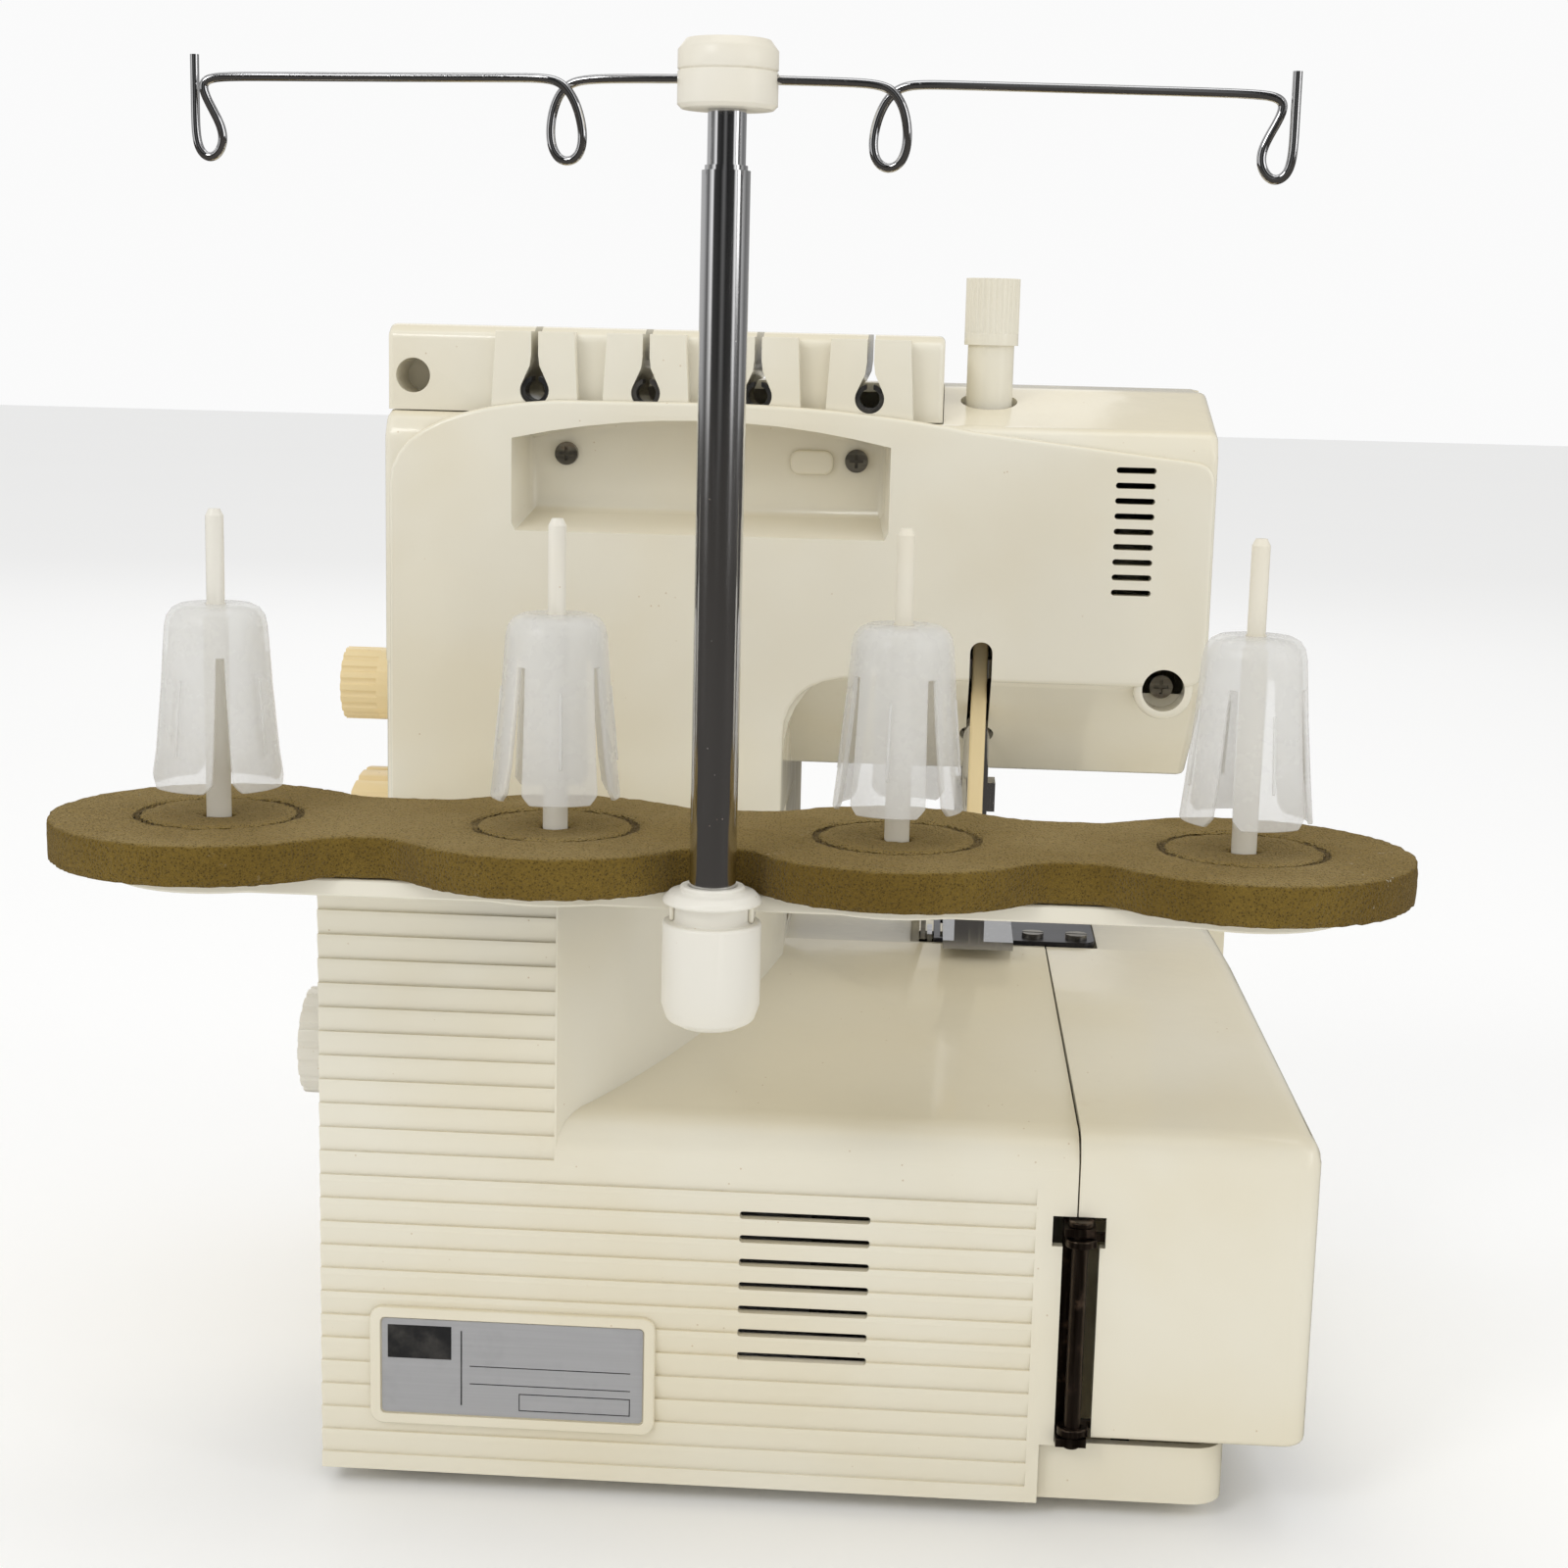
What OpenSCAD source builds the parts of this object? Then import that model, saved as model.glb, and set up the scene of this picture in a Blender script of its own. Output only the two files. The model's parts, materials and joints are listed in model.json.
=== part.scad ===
// Serger overlock machine with its telescopic thread stand.
// Seen from the operator: +X is the right (handwheel side), -Y the front,
// +Y the back (thread stand), +Z up. Z = 0 is the table the feet stand on,
// X = 0 the mast's plane, Y = 0 the middle of the whole depth.

/* [Overall size] */
// Width of the body, handwheel side to side door
body_w = 238; // [195:1:290]
// Depth of the body, front cover to back panel
body_d = 199; // [165:1:240]
// Height of the sewing bed at its back edge
bed_h = 97; // [88:1:120]
// Height from the back of the bed to the head's lower edge
throat_h = 66; // [55:1:85]
// Height of the head, lower edge to flat top
head_h = 104; // [90:1:125]
// Wall thickness of the moulded covers
wall = 2.5; // [2:0.1:3.2]

/* [Base] */
// Slope of the bed towards the back, degrees
bed_tilt = 10.5; // [5:0.5:14]
// Rounding of the bed's back edge
bed_round = 9; // [5:0.5:12]
// Width of the side door
door_w = 57; // [48:1:68]
// Gap around the side door
door_gap = 0.9; // [0.6:0.1:1.4]
// Pitch of the shingle ribs
rib_pitch = 5.9; // [4:0.1:8]
// Depth of the shingle ribs
rib_depth = 0.9; // [0.4:0.1:1.2]
// Height of the rubber feet under the pan
foot_h = 4.5; // [3:0.5:7]
// Radius of a rubber foot
foot_r = 14; // [9:0.5:16]
// Number of vent slots in the back
vent_count = 7; // [4:1:9]

/* [Head] */
// Width of the column
col_w = 104; // [90:1:118]
// Width of the head, handwheel side to its free end
head_w = 212; // [180:1:225]
// Height of the raised thread block over the flat top
block_rise = 13; // [8:1:18]
// Spacing of the four thread slots
slot_pitch = 28.4; // [24:0.2:30]
// Width of a teardrop thread slot
slot_w = 7.4; // [5:0.1:9]
// Width of the carry grip
grip_w = 97; // [80:1:104]
// Height of the carry grip
grip_h = 29; // [22:1:32]
// Depth of the carry grip
grip_d = 19; // [12:1:21]
// Number of lamp vents in the head
lamp_vents = 9; // [5:1:10]

/* [Drive] */
// Radius of the main shaft
shaft_r = 6; // [4:0.1:8]
// Radius of the handwheel
wheel_r = 46; // [36:1:50]
// Thickness of the handwheel
wheel_t = 14; // [8:1:18]
// Radius of the pulley on the main shaft
pulley_r = 30; // [24:1:34]
// Radius of the motor's pulley
pinion_r = 7.5; // [6:0.5:9]
// Radius of the motor
motor_r = 28; // [22:1:30]
// Radial running clearance of shafts in bushes
run_fit = 0.05; // [0.02:0.01:0.09]
// Gap left between pieces that move past each other
move_gap = 0.5; // [0.35:0.05:0.8]

/* [Stitch parts] */
// Radius of the presser bar
presser_r = 3.5; // [3:0.1:4.5]
// Radius of the needle bar
needle_bar_r = 3.6; // [3:0.1:4.5]
// Radius of the pressure knob
knob_r = 7; // [5:0.5:8]
// Thickness of the presser lifter
lifter_t = 4.6; // [3:0.1:6]
// Radius of the stitch length dial
dial_r = 10; // [7:0.5:13]
// Radius of the differential feed dial
feed_dial_r = 13.5; // [10:0.5:16]
// Radius of a tension dial
tension_r = 14; // [11:0.5:16]

/* [Thread stand] */
// Spacing of the spool pins
pin_pitch = 77; // [66:1:92]
// Height of the foam's top over the table
stand_z = 170; // [160:1:190]
// Thickness of the foam pad
foam_t = 10; // [6:0.5:14]
// Radius of each foam disc
foam_r = 38; // [32:0.5:45]
// Thickness of the spool tray
tray_t = 4; // [3:0.5:6]
// Radius of a spool pin where a cone sits
pin_r = 2.8; // [2:0.1:4]
// Height of the spool pins over the foam
pin_h = 68.5; // [50:0.5:90]
// Height of a cone holder
cone_h = 41; // [30:1:50]
// Wall thickness of a cone holder
cone_wall = 1.4; // [1:0.1:2]
// Radius of the outer mast tube
mast_r = 5; // [4:0.1:7]
// Wall of the outer mast tube
mast_wall = 1; // [0.6:0.1:1.4]
// Height of the outer mast tube's top over the foam
mast_h = 143; // [110:1:180]
// Distance of the mast behind the row of pins
mast_off = 30; // [26:0.5:36]
// Radius of the mast cup
cup_r = 10.6; // [9:0.1:14]
// Thickness of the thread guide wire
wire_d = 1.9; // [1.4:0.1:2.6]
// Turn of the thread guide on the mast at rest, degrees
wire_turn = -5; // [-20:1:20]
// Length of the inner tube's pull-out
mast_travel = 120; // [60:5:160]

/* [Hidden] */

ivory = [0.93, 0.91, 0.84];
yellowed = [0.92, 0.82, 0.58];
chrome = [0.78, 0.79, 0.81];
steel = [0.62, 0.62, 0.63];
black = [0.08, 0.08, 0.08];

// Where the large faces are
row_off = 15;
reach = row_off + mast_off + cup_r;
rear_y = (body_d - reach) / 2;
front_y = rear_y - body_d;
row_y = rear_y + row_off;
mast_y = row_y + mast_off;
side_x = body_w / 2 - 22;
door_x = side_x - body_w;
seam_x = door_x + door_w;
col_x = side_x - col_w;
head_x = side_x - head_w;
step_x = side_x - 57;

base_z = foot_h;
cone_z = stand_z + 6.3;
knee_y = rear_y - 0.541 * body_d;
bed_z = bed_h + (rear_y - bed_round - knee_y) * tan(bed_tilt);
bed_front_y = front_y + 30;
block_z = stand_z - foam_t - tray_t - 1;
head_y = rear_y - 0.367 * body_d;
head_front = head_y - 0.52 * body_d;
split_y = head_y - 60;
head_z = bed_h + throat_h;
top_z = head_z + head_h;
crown_z = top_z + block_rise;
cover_gap = 0.4;

// Where the drive runs
shaft_y = head_y - 46;
shaft_z = bed_z - 4.5;
motor_y = rear_y - 36;
motor_z = base_z + 66;
belt_x = side_x - 9;
presser_x = head_x + 57.6;
presser_y = head_y - 25.5;
needle_y = presser_y - 21;
plate_top = bed_z + 1.2;
arm_x = side_x - 14;
post_y = head_front + 21;
nose_x = presser_x - 16;
lever_y = head_y - 12;
lever_z = head_z + 46;
looper_z = base_z + 62;
hinge_x = seam_x - 0.6;
hinge_y = rear_y + 0.3;
hinge_z0 = base_z + 16;
hinge_z1 = base_z + 70;

// Helpers: a flat shape pulled along one axis, and bars along each axis
module along_x(x0, x1) translate([x0, 0, 0]) rotate([90, 0, 90]) linear_extrude(x1 - x0) children();
module along_y(y0, y1) translate([0, y1, 0]) rotate([90, 0, 0]) linear_extrude(y1 - y0) children();
module along_z(z0, z1) translate([0, 0, z0]) linear_extrude(z1 - z0) children();
module bar_x(x0, x1, y, z, r) translate([x0, y, z]) rotate([0, 90, 0]) cylinder(h = x1 - x0, r = r, $fn = 48);
module bar_y(y0, y1, x, z, r) translate([x, y1, z]) rotate([90, 0, 0]) cylinder(h = y1 - y0, r = r, $fn = 48);
module bar_z(z0, z1, x, y, r) translate([x, y, z0]) cylinder(h = z1 - z0, r = r, $fn = 48);
module box(x0, x1, y0, y1, z0, z1) translate([x0, y0, z0]) cube([x1 - x0, y1 - y0, z1 - z0]);
module soft_rect(x0, x1, y0, y1, r) translate([x0 + r, y0 + r]) offset(r = r, $fn = 24)
  square([x1 - x0 - 2 * r, y1 - y0 - 2 * r]);
function curve(a, b, c, n) = [for (i = [0:n]) let (t = i / n)
  (1 - t) * (1 - t) * a + 2 * t * (1 - t) * b + t * t * c];
function arc(x, y, r, a0, a1, n) = [for (i = [0:n]) let (t = a0 + (a1 - a0) * i / n)
  [x + r * cos(t), y + r * sin(t)]];

// ---- Base ----
module base_pan() color(ivory) difference() {
  union() {
    along_z(base_z, base_z + 3) pan_plan(0);
    difference() {
      along_z(base_z, base_z + 14.5) pan_plan(0);
      along_z(base_z - 1, base_z + 16) pan_plan(wall);
    }
  }
  for (p = feet_spots()) bar_z(base_z - 1, base_z + 4, p[0], p[1], 2.5);
}
module pan_plan(inset) offset(delta = -inset)
  soft_rect(door_x + 19, side_x - wall - 0.7, front_y + 7, rear_y - wall - 0.7, 8);
function feet_spots() = [[door_x + 42, rear_y - 32], [side_x - 24, rear_y - 24],
  [door_x + 42, front_y + 28], [side_x - 24, front_y + 28]];

module rubber_feet() color(black) for (p = feet_spots()) {
  bar_z(0, base_z, p[0], p[1], foot_r);
  bar_z(base_z - 0.01, base_z + 3.5, p[0], p[1], 2.4);
}

// The bed's outline seen from the side; ext opens it at the front and below
module bed_profile(inset, ext) offset(delta = -inset) polygon(concat(
  [[rear_y, base_z - ext]],
  arc(rear_y - bed_round, bed_h - bed_round, bed_round, 0, 90, 6),
  [[knee_y, bed_z], [bed_front_y - ext, bed_z], [bed_front_y - ext, base_z - ext]]));
// The rear block seen from above, with its sweep into the column
module block_plan(inset, ext) offset(delta = -inset) polygon(concat(
  curve([step_x, rear_y], [col_x + 13, rear_y - 44], [col_x, head_y - 24], 8),
  [[col_x, split_y - ext], [side_x, split_y - ext], [side_x, rear_y]]));
// The bed seen from above; its seam with the door leans a little
module bed_plan(inset) offset(delta = -inset) polygon([[side_x, rear_y],
  [seam_x + door_gap / 2, rear_y], [seam_x + 5 + door_gap / 2, knee_y],
  [seam_x + 7 + door_gap / 2, bed_front_y - 1], [side_x, bed_front_y - 1]]);

module rear_cover() color(ivory) difference() {
  union() {
    intersection() {
      along_x(seam_x - 5, side_x) bed_profile(0, 0);
      along_z(0, crown_z) bed_plan(0);
    }
    along_z(base_z, block_z) block_plan(0, 0);
  }
  intersection() {
    along_x(seam_x, side_x) bed_profile(wall, 30);
    along_z(base_z - 9, crown_z) bed_plan(wall);
  }
  along_z(base_z - 9, block_z - wall) block_plan(wall, 30);
  // right side of the front belongs to the front housing
  box(col_x + 0.01, side_x + 1, bed_front_y - 9, split_y + 0.01, base_z - 9, bed_z + 9);
  // step under the door's hinge, and the hinge channel
  box(seam_x - 9, seam_x + 7, bed_front_y - 9, rear_y + 1, base_z - 1, base_z + 15);
  box(seam_x - 9, seam_x + 12, bed_front_y - 9, rear_y - 6, base_z - 1, base_z + 15);
  box(seam_x + 12, col_x + 20, bed_front_y - 2, bed_front_y + 5, base_z - 1, bed_z - wall);
  box(seam_x - 9, seam_x + 3.5, rear_y - 7, rear_y + 1, base_z + 14, hinge_z1 + 2.5);
  box(seam_x - 9, seam_x + 6, rear_y - 7, rear_y + 1, hinge_z1 - 5, hinge_z1 + 2.5);
  // shingle ribs
  for (i = [0 : floor((bed_h - bed_round - base_z - 6) / rib_pitch) - 1])
    rib(seam_x + 10, base_z + 4 + i * rib_pitch);
  for (i = [floor((bed_h - bed_round - base_z - 6) / rib_pitch) :
            floor((block_z - base_z - 8) / rib_pitch) - 1])
    rib(step_x + 0.5, base_z + 4 + i * rib_pitch);
  // motor vents, the needle plate's window, shaft and inlet holes
  for (i = [0 : vent_count - 1])
    along_y(rear_y - 9, rear_y + 1) soft_rect(col_x - 28, col_x + 3,
      base_z + 33.6 + i * rib_pitch - 0.7, base_z + 33.6 + i * rib_pitch + 0.9, 0.7);
  box(plate_x0() + 2, plate_x1() - 2, bed_front_y - 2, plate_y1() - 2, bed_z - 9, bed_z + 3);
  box(plate_x0() - 0.3, plate_x1() + 0.3, bed_front_y - 2, plate_y1() + 0.3, bed_z - 0.8, bed_z + 3);
  bar_x(side_x - 9, side_x + 1, shaft_y, shaft_z, shaft_r + 3);
  bar_x(side_x - 9, side_x + 1, feed_y(), feed_z(), 3.4);
  box(side_x - 9, side_x + 1, inlet_y() - 13.2, inlet_y() + 13.2, base_z + 17.8, base_z + 36.2);
  box(side_x - 9, side_x + 1, inlet_y() - 41.2, inlet_y() - 20.8, base_z + 19.2, base_z + 34.8);
  // way up for the column, and the upper knife's slot
  box(col_x + wall + 1, side_x - wall - 1, split_y - 9, head_y - wall - 1, block_z - 9, block_z + 1);
  box(col_x - 1, col_x + 4, needle_y - 3, needle_y + 7, plate_top + 2, plate_top + 14);
  // screw holes for the thread stand
  for (x = [side_x - 40, side_x - 70]) bar_z(block_z - 9, block_z + 1, x, stay_y(), 2.2);
}
module rib(x0, z) along_x(x0, side_x + 1) polygon([[rear_y + 0.2, z],
  [rear_y - rib_depth, z], [rear_y + 0.2, z + rib_pitch * 0.92]]);
function stay_y() = rear_y - 9;
function inlet_y() = rear_y - 24;
function feed_y() = rear_y - 46;
function feed_z() = bed_h + 2;
function plate_x0() = presser_x - 35;
function plate_x1() = presser_x + 15.5;
function plate_y1() = presser_y - 11;

// Front right housing under the head: base part and column part
module front_housing() color(ivory) difference() {
  union() {
    box(col_x + 0.3, side_x, front_y, split_y - cover_gap, base_z, bed_z - 6);
    box(col_x + 0.3, side_x, head_front, split_y - cover_gap, base_z, head_z - cover_gap);
  }
  box(col_x + 0.3 + wall, side_x - wall, front_y + wall, split_y + 1, base_z - 1, bed_z - 6 - wall);
  box(col_x + 0.3 + wall, side_x - wall, head_front + wall, split_y + 1, base_z - 1, head_z + 1);
  box(col_x - 1, col_x + 9, front_y - 1, split_y + 1, base_z - 1, bed_z - 5.99);
  for (i = [0:3]) box(side_x - 24 - i * 22, side_x - 22 - i * 22,
    head_front - 1, head_front + wall + 1, bed_z + 10, head_z - 6);
}

// ---- Head ----
// Side outline of the arm: slanted underside at the back, sloped top
module arm_profile(inset, ext) offset(delta = -inset) polygon([
  [head_y - 44, head_z], [head_y, head_z + 30], [head_y, top_z - 15], [head_y - 3, top_z - 9.5],
  [head_y - 38, top_z], [head_front + 20, top_z], [head_front, top_z - 22], [head_front, head_z]]);
// Back outline of the head and column
module head_outline(inset, ext) offset(delta = -inset) polygon(concat(
  [[side_x, head_z + 3 - ext], [side_x, top_z - 6]], [[side_x - 4, top_z + 1], [head_x, top_z + 1]],
  [[head_x, head_z - 1], [col_x - 30, head_z - 1]],
  curve([col_x - 16, head_z + 3], [col_x, head_z + 3], [col_x, head_z - 12], 5),
  [[col_x, head_z + 3 - ext]]));
module head_solid(inset, ext) union() {
  intersection() {
    along_x(head_x, side_x) arm_profile(inset, 0);
    along_y(head_front, head_y) head_outline(inset, 0);
  }
  intersection() {
    along_y(head_front, head_y - inset) offset(delta = -inset) polygon([[col_x, head_z - 40],
      [col_x, head_z + 40], [side_x, head_z + 40], [side_x, head_z - 40]]);
    box(head_x, side_x, head_front + inset, head_y, block_z + cover_gap - ext, head_z + 60);
  }
}
module head_rear_cover() color(ivory) difference() {
  union() {
    intersection() {
      head_solid(0, 0);
      box(head_x - 1, side_x + 1, split_y, head_y + 1, 0, crown_z + 9);
    }
    // walls of the carry grip
    along_y(head_y - grip_d - wall, head_y - 0.6) grip_shape(wall);
  }
  difference() {
    intersection() {
      head_solid(wall, 20);
      box(head_x - 1, side_x + 1, split_y - 20, head_y + 1, 0, crown_z + 9);
    }
    along_y(head_y - grip_d - wall, head_y) grip_shape(wall);
    bar_y(head_y - 11, head_y, head_x + 11, head_z + 29.5, 7.4);
  }
  box(head_x + wall, side_x - wall, split_y - 1, split_y + 2, head_z + wall + 1, top_z - wall);
  along_y(head_y - grip_d, head_y + 1) grip_shape(0);
  // seat of the thread block
  box(block_x0() - 0.2, side_x + 1, split_y - 1, head_y + 1, block_seat(), crown_z);
  // lifter slot, open at the bottom
  along_y(head_y - 60, head_y + 1) translate([presser_x, 0]) {
    translate([0, head_z + 38]) circle(r = lifter_t / 2 + move_gap, $fn = 24);
    translate([-lifter_t / 2 - move_gap, head_z - 9]) square([lifter_t + 2 * move_gap, 47]);
  }
  // lamp vents
  for (i = [0 : lamp_vents - 1])
    along_y(head_y - 9, head_y + 1) soft_rect(head_x + 15.5, head_x + 25.5,
      head_z + 54.2 + i * 3.85 - 0.75, head_z + 54.2 + i * 3.85 + 0.75, 0.7);
  // screw wells, knob hole and dial hole
  bar_y(head_y - 8, head_y + 1, head_x + 11, head_z + 29.5, 5.4);
  bar_y(head_y - 20, head_y, head_x + 11, head_z + 29.5, 1.7);
  for (x = grip_screws()) bar_y(head_y - grip_d - 9, head_y, x, grip_z0() + 19.5, 1.7);
  bar_z(top_z - 30, top_z + 9, presser_x, presser_y, knob_r + 0.4);
  bar_z(head_z - 9, head_z + 40, presser_x, presser_y, presser_r + 1);
  bar_z(head_z - 9, head_z + 30, presser_x, needle_y, needle_bar_r + 1);
  bar_x(side_x - 9, side_x + 1, shaft_y, head_z + 18, 3.4);
}
function block_x0() = head_x + 69.5;
function block_seat() = top_z - 9;
function grip_x0() = col_x - 26;
function grip_z0() = head_z + 65;
function grip_screws() = [grip_x0() + 9.5, grip_x0() + grip_w - 11.5];
module grip_shape(grow) offset(delta = grow) polygon(concat(
  [[grip_x0(), grip_z0()]], curve([grip_x0(), grip_z0() + 24], [grip_x0() + grip_w / 2, grip_z0() + 35],
  [grip_x0() + grip_w, grip_z0() + 24], 10), [[grip_x0() + grip_w, grip_z0()]]));

module head_front_cover() color(ivory) difference() {
  intersection() {
    head_solid(0, 0);
    box(head_x - 1, side_x + 1, head_front - 1, split_y - cover_gap, head_z, crown_z + 9);
  }
  intersection() {
    head_solid(wall, 20);
    box(head_x - 1, side_x + 1, head_front - 1, split_y + 9, head_z - 9, crown_z + 9);
  }
  box(col_x + wall, side_x - wall, head_front + wall, split_y + 1, head_z - 1, head_z + 9);
  box(block_x0() - 0.2, side_x + 1, head_front - 1, split_y + 1, top_z - 0.01, crown_z);
  for (i = [0:3]) box(dial_x(i) - 5, dial_x(i) + 5, head_front - 1, head_front + wall + 9,
    dial_z() - tension_r - 1, dial_z() + tension_r + 1);
}
function dial_x(i) = side_x - 19 - i * 24;
function dial_z() = top_z - 46;

// Raised block along the top with the four teardrop thread slots
module thread_block() color(ivory) difference() {
  union() {
    along_x(block_x0(), side_x) polygon([[head_y - 5, block_seat() + 0.3], [head_y - 5, crown_z - 8],
      [head_y - 26, crown_z], [head_y - 56, crown_z], [head_y - 56, top_z + 0.4],
      [head_y - 38, top_z + 0.4], [head_y - 38, block_seat() + 0.3]]);
    for (i = [0:3]) along_y(head_y - 20, head_y - 0.5)
      soft_rect(slot_x(i) - 10, slot_x(i) + 10, block_seat() + 0.3, crown_z - 8.5, 1.5);
  }
  for (i = [0:3]) along_y(head_y - 70, head_y + 1) translate([slot_x(i), block_seat() + 6]) {
    circle(d = slot_w, $fn = 24);
    polygon([[-slot_w * 0.43, 1.8], [slot_w * 0.43, 1.8], [0.9, 11], [0.9, 40], [-0.9, 40], [-0.9, 11]]);
  }
  bar_y(head_y - 20, head_y + 1, side_x - 6.6, top_z, 4.4);
}
function slot_x(i) = block_x0() + 18.6 + i * slot_pitch;

// Dark lined eyelets behind the slots
module thread_eyelets() color(black) for (i = [0:3]) translate([slot_x(i), 0, block_seat() + 6])
  difference() {
    along_y(head_y - 8, head_y - 1.5) circle(d = slot_w - 0.1, $fn = 24);
    along_y(head_y - 9, head_y) circle(d = slot_w - 2.4, $fn = 24);
    translate([-0.9, head_y - 9, 0]) cube([1.8, 9, 9]);
  }

// Identical cross-head screws: two in the grip, one in the lower well
module case_screws() color(steel) {
  for (x = grip_screws()) case_screw(x, head_y - grip_d, grip_z0() + 19.5);
  case_screw(head_x + 11, head_y - 8, head_z + 29.5);
}
module case_screw(x, y, z) difference() {
  union() {
    bar_y(y + 0.02, y + 2, x, z, 3);
    bar_y(y - wall - 9, y + 0.03, x, z, 1.6);
  }
  box(x - 0.4, x + 0.4, y + 1, y + 3, z - 1.8, z + 1.8);
  box(x - 1.8, x + 1.8, y + 1, y + 3, z - 0.4, z + 0.4);
}

module rating_plate() color(chrome) along_y(rear_y + 0.02, rear_y + 0.8)
  soft_rect(side_x - 78.5, side_x - 15, base_z + 15.5, base_z + 39.5, 2.5);

// ---- Frame inside ----
module frame_casting() color(steel) {
  casting();
  bar_x(presser_x - 8, presser_x + 8, lever_y, lever_z, 2);
}
module casting() difference() {
  union() {
    box(seam_x + 13, side_x - 10, front_y + 12, rear_y - 10, base_z + 3.2, base_z + 11);
    box(col_x + 19, arm_x, post_y, head_y - 14, base_z + 10, head_z + 58);
    box(presser_x + 18, arm_x, post_y, head_y - 25, head_z + 34, top_z - 17);
    box(nose_x, presser_x + 19, post_y + 10, head_y - 7, head_z + 40, top_z - 22);
    box(presser_x - 15, presser_x + 40, needle_y - 20, needle_y - 8, base_z + 10, looper_z + 12);
    box(presser_x - 15, presser_x + 40, needle_y - 8, needle_y + 34, base_z + 10, looper_z - 20);
  }
  // hollow column and arm
  box(col_x + 26, arm_x - 7, post_y + 7, head_y - 21, base_z + 11, head_z + 52);
  box(presser_x + 30, arm_x - 7, post_y + 7, head_y - 32, head_z + 41, top_z - 24);
  // bores, and threads for the covers' screws
  for (x = grip_screws()) bar_y(head_y - 40, head_y - 20, x, grip_z0() + 19.5, 1.62);
  bar_x(col_x, side_x, shaft_y, shaft_z, shaft_r + 3);
  bar_z(head_z, top_z, presser_x, presser_y, presser_r + run_fit);
  bar_z(head_z, top_z, presser_x, needle_y, needle_bar_r + run_fit);
  box(presser_x - lifter_t / 2 - move_gap, presser_x + lifter_t / 2 + move_gap,
    presser_y + 4.5, head_y, head_z, lever_z + 9);
  bar_y(needle_y - 30, needle_y, upper_x(), looper_z, 4 + run_fit);
  bar_y(needle_y - 30, needle_y, lower_x(), looper_z, 4 + run_fit);
  for (p = feet_spots()) bar_z(base_z, base_z + 12, p[0], p[1], 5);
}
function upper_x() = presser_x + 28;
function lower_x() = presser_x - 8;

module shaft_bushes() color([0.75, 0.6, 0.35]) for (x = [col_x + 19, arm_x - 7])
  difference() {
    bar_x(x - 1, x + 8, shaft_y, shaft_z, shaft_r + 2.98);
    bar_x(x - 2, x + 9, shaft_y, shaft_z, shaft_r + run_fit);
  }
module main_shaft() color(steel) {
  bar_x(col_x + 8, side_x + 2 + wheel_t, shaft_y, shaft_z, shaft_r);
  for (x = [col_x + 12, col_x + 50]) bar_x(x, x + 5, shaft_y - 2, shaft_z, shaft_r + 4);
}
module shaft_pulley() color(black) difference() {
  bar_x(belt_x - 3, belt_x + 3, shaft_y, shaft_z, pulley_r);
  bar_x(belt_x - 9, belt_x + 9, shaft_y, shaft_z, shaft_r + 0.01);
  for (a = [0:60:300]) translate([0, shaft_y, shaft_z]) rotate([a, 0, 0])
    bar_x(belt_x - 9, belt_x + 9, 0, pulley_r * 0.62, pulley_r * 0.17);
}
module handwheel() color(yellowed) difference() {
  union() {
    bar_x(side_x + 2, side_x + 2 + wheel_t, shaft_y, shaft_z, wheel_r);
    bar_x(side_x + 2, side_x + 4 + wheel_t, shaft_y, shaft_z, 16);
  }
  bar_x(side_x + 1, side_x + 2.01 + wheel_t, shaft_y, shaft_z, shaft_r + 0.01);
  difference() {
    bar_x(side_x + 7, side_x + 9 + wheel_t, shaft_y, shaft_z, wheel_r - 7);
    bar_x(side_x + 6, side_x + 9 + wheel_t, shaft_y, shaft_z, 16);
  }
  for (a = [0:12:348]) translate([0, shaft_y, shaft_z]) rotate([a, 0, 0])
    bar_x(side_x + 1, side_x + 9 + wheel_t, 0, wheel_r + 1, 2);
}
module motor() color(steel) {
  bar_x(belt_x - 82, belt_x - 16, motor_y, motor_z, motor_r);
  bar_x(belt_x - 17, belt_x - 12, motor_y, motor_z, 12);
  box(belt_x - 72, belt_x - 26, motor_y - 20, motor_y + 20, base_z + 11.01, motor_z - motor_r + 6);
}
module motor_pulley() color(black) {
  bar_x(belt_x - 11.6, belt_x + 4, motor_y, motor_z, 3);
  bar_x(belt_x - 3, belt_x + 3, motor_y, motor_z, pinion_r);
}
module drive_belt() color(black) along_x(belt_x - 2.5, belt_x + 2.5) difference() {
  hull() {
    translate([shaft_y, shaft_z]) circle(r = pulley_r + 2.2, $fn = 60);
    translate([motor_y, motor_z]) circle(r = pinion_r + 2.2, $fn = 36);
  }
  hull() {
    translate([shaft_y, shaft_z]) circle(r = pulley_r + 0.4, $fn = 60);
    translate([motor_y, motor_z]) circle(r = pinion_r + 0.4, $fn = 36);
  }
}

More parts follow.
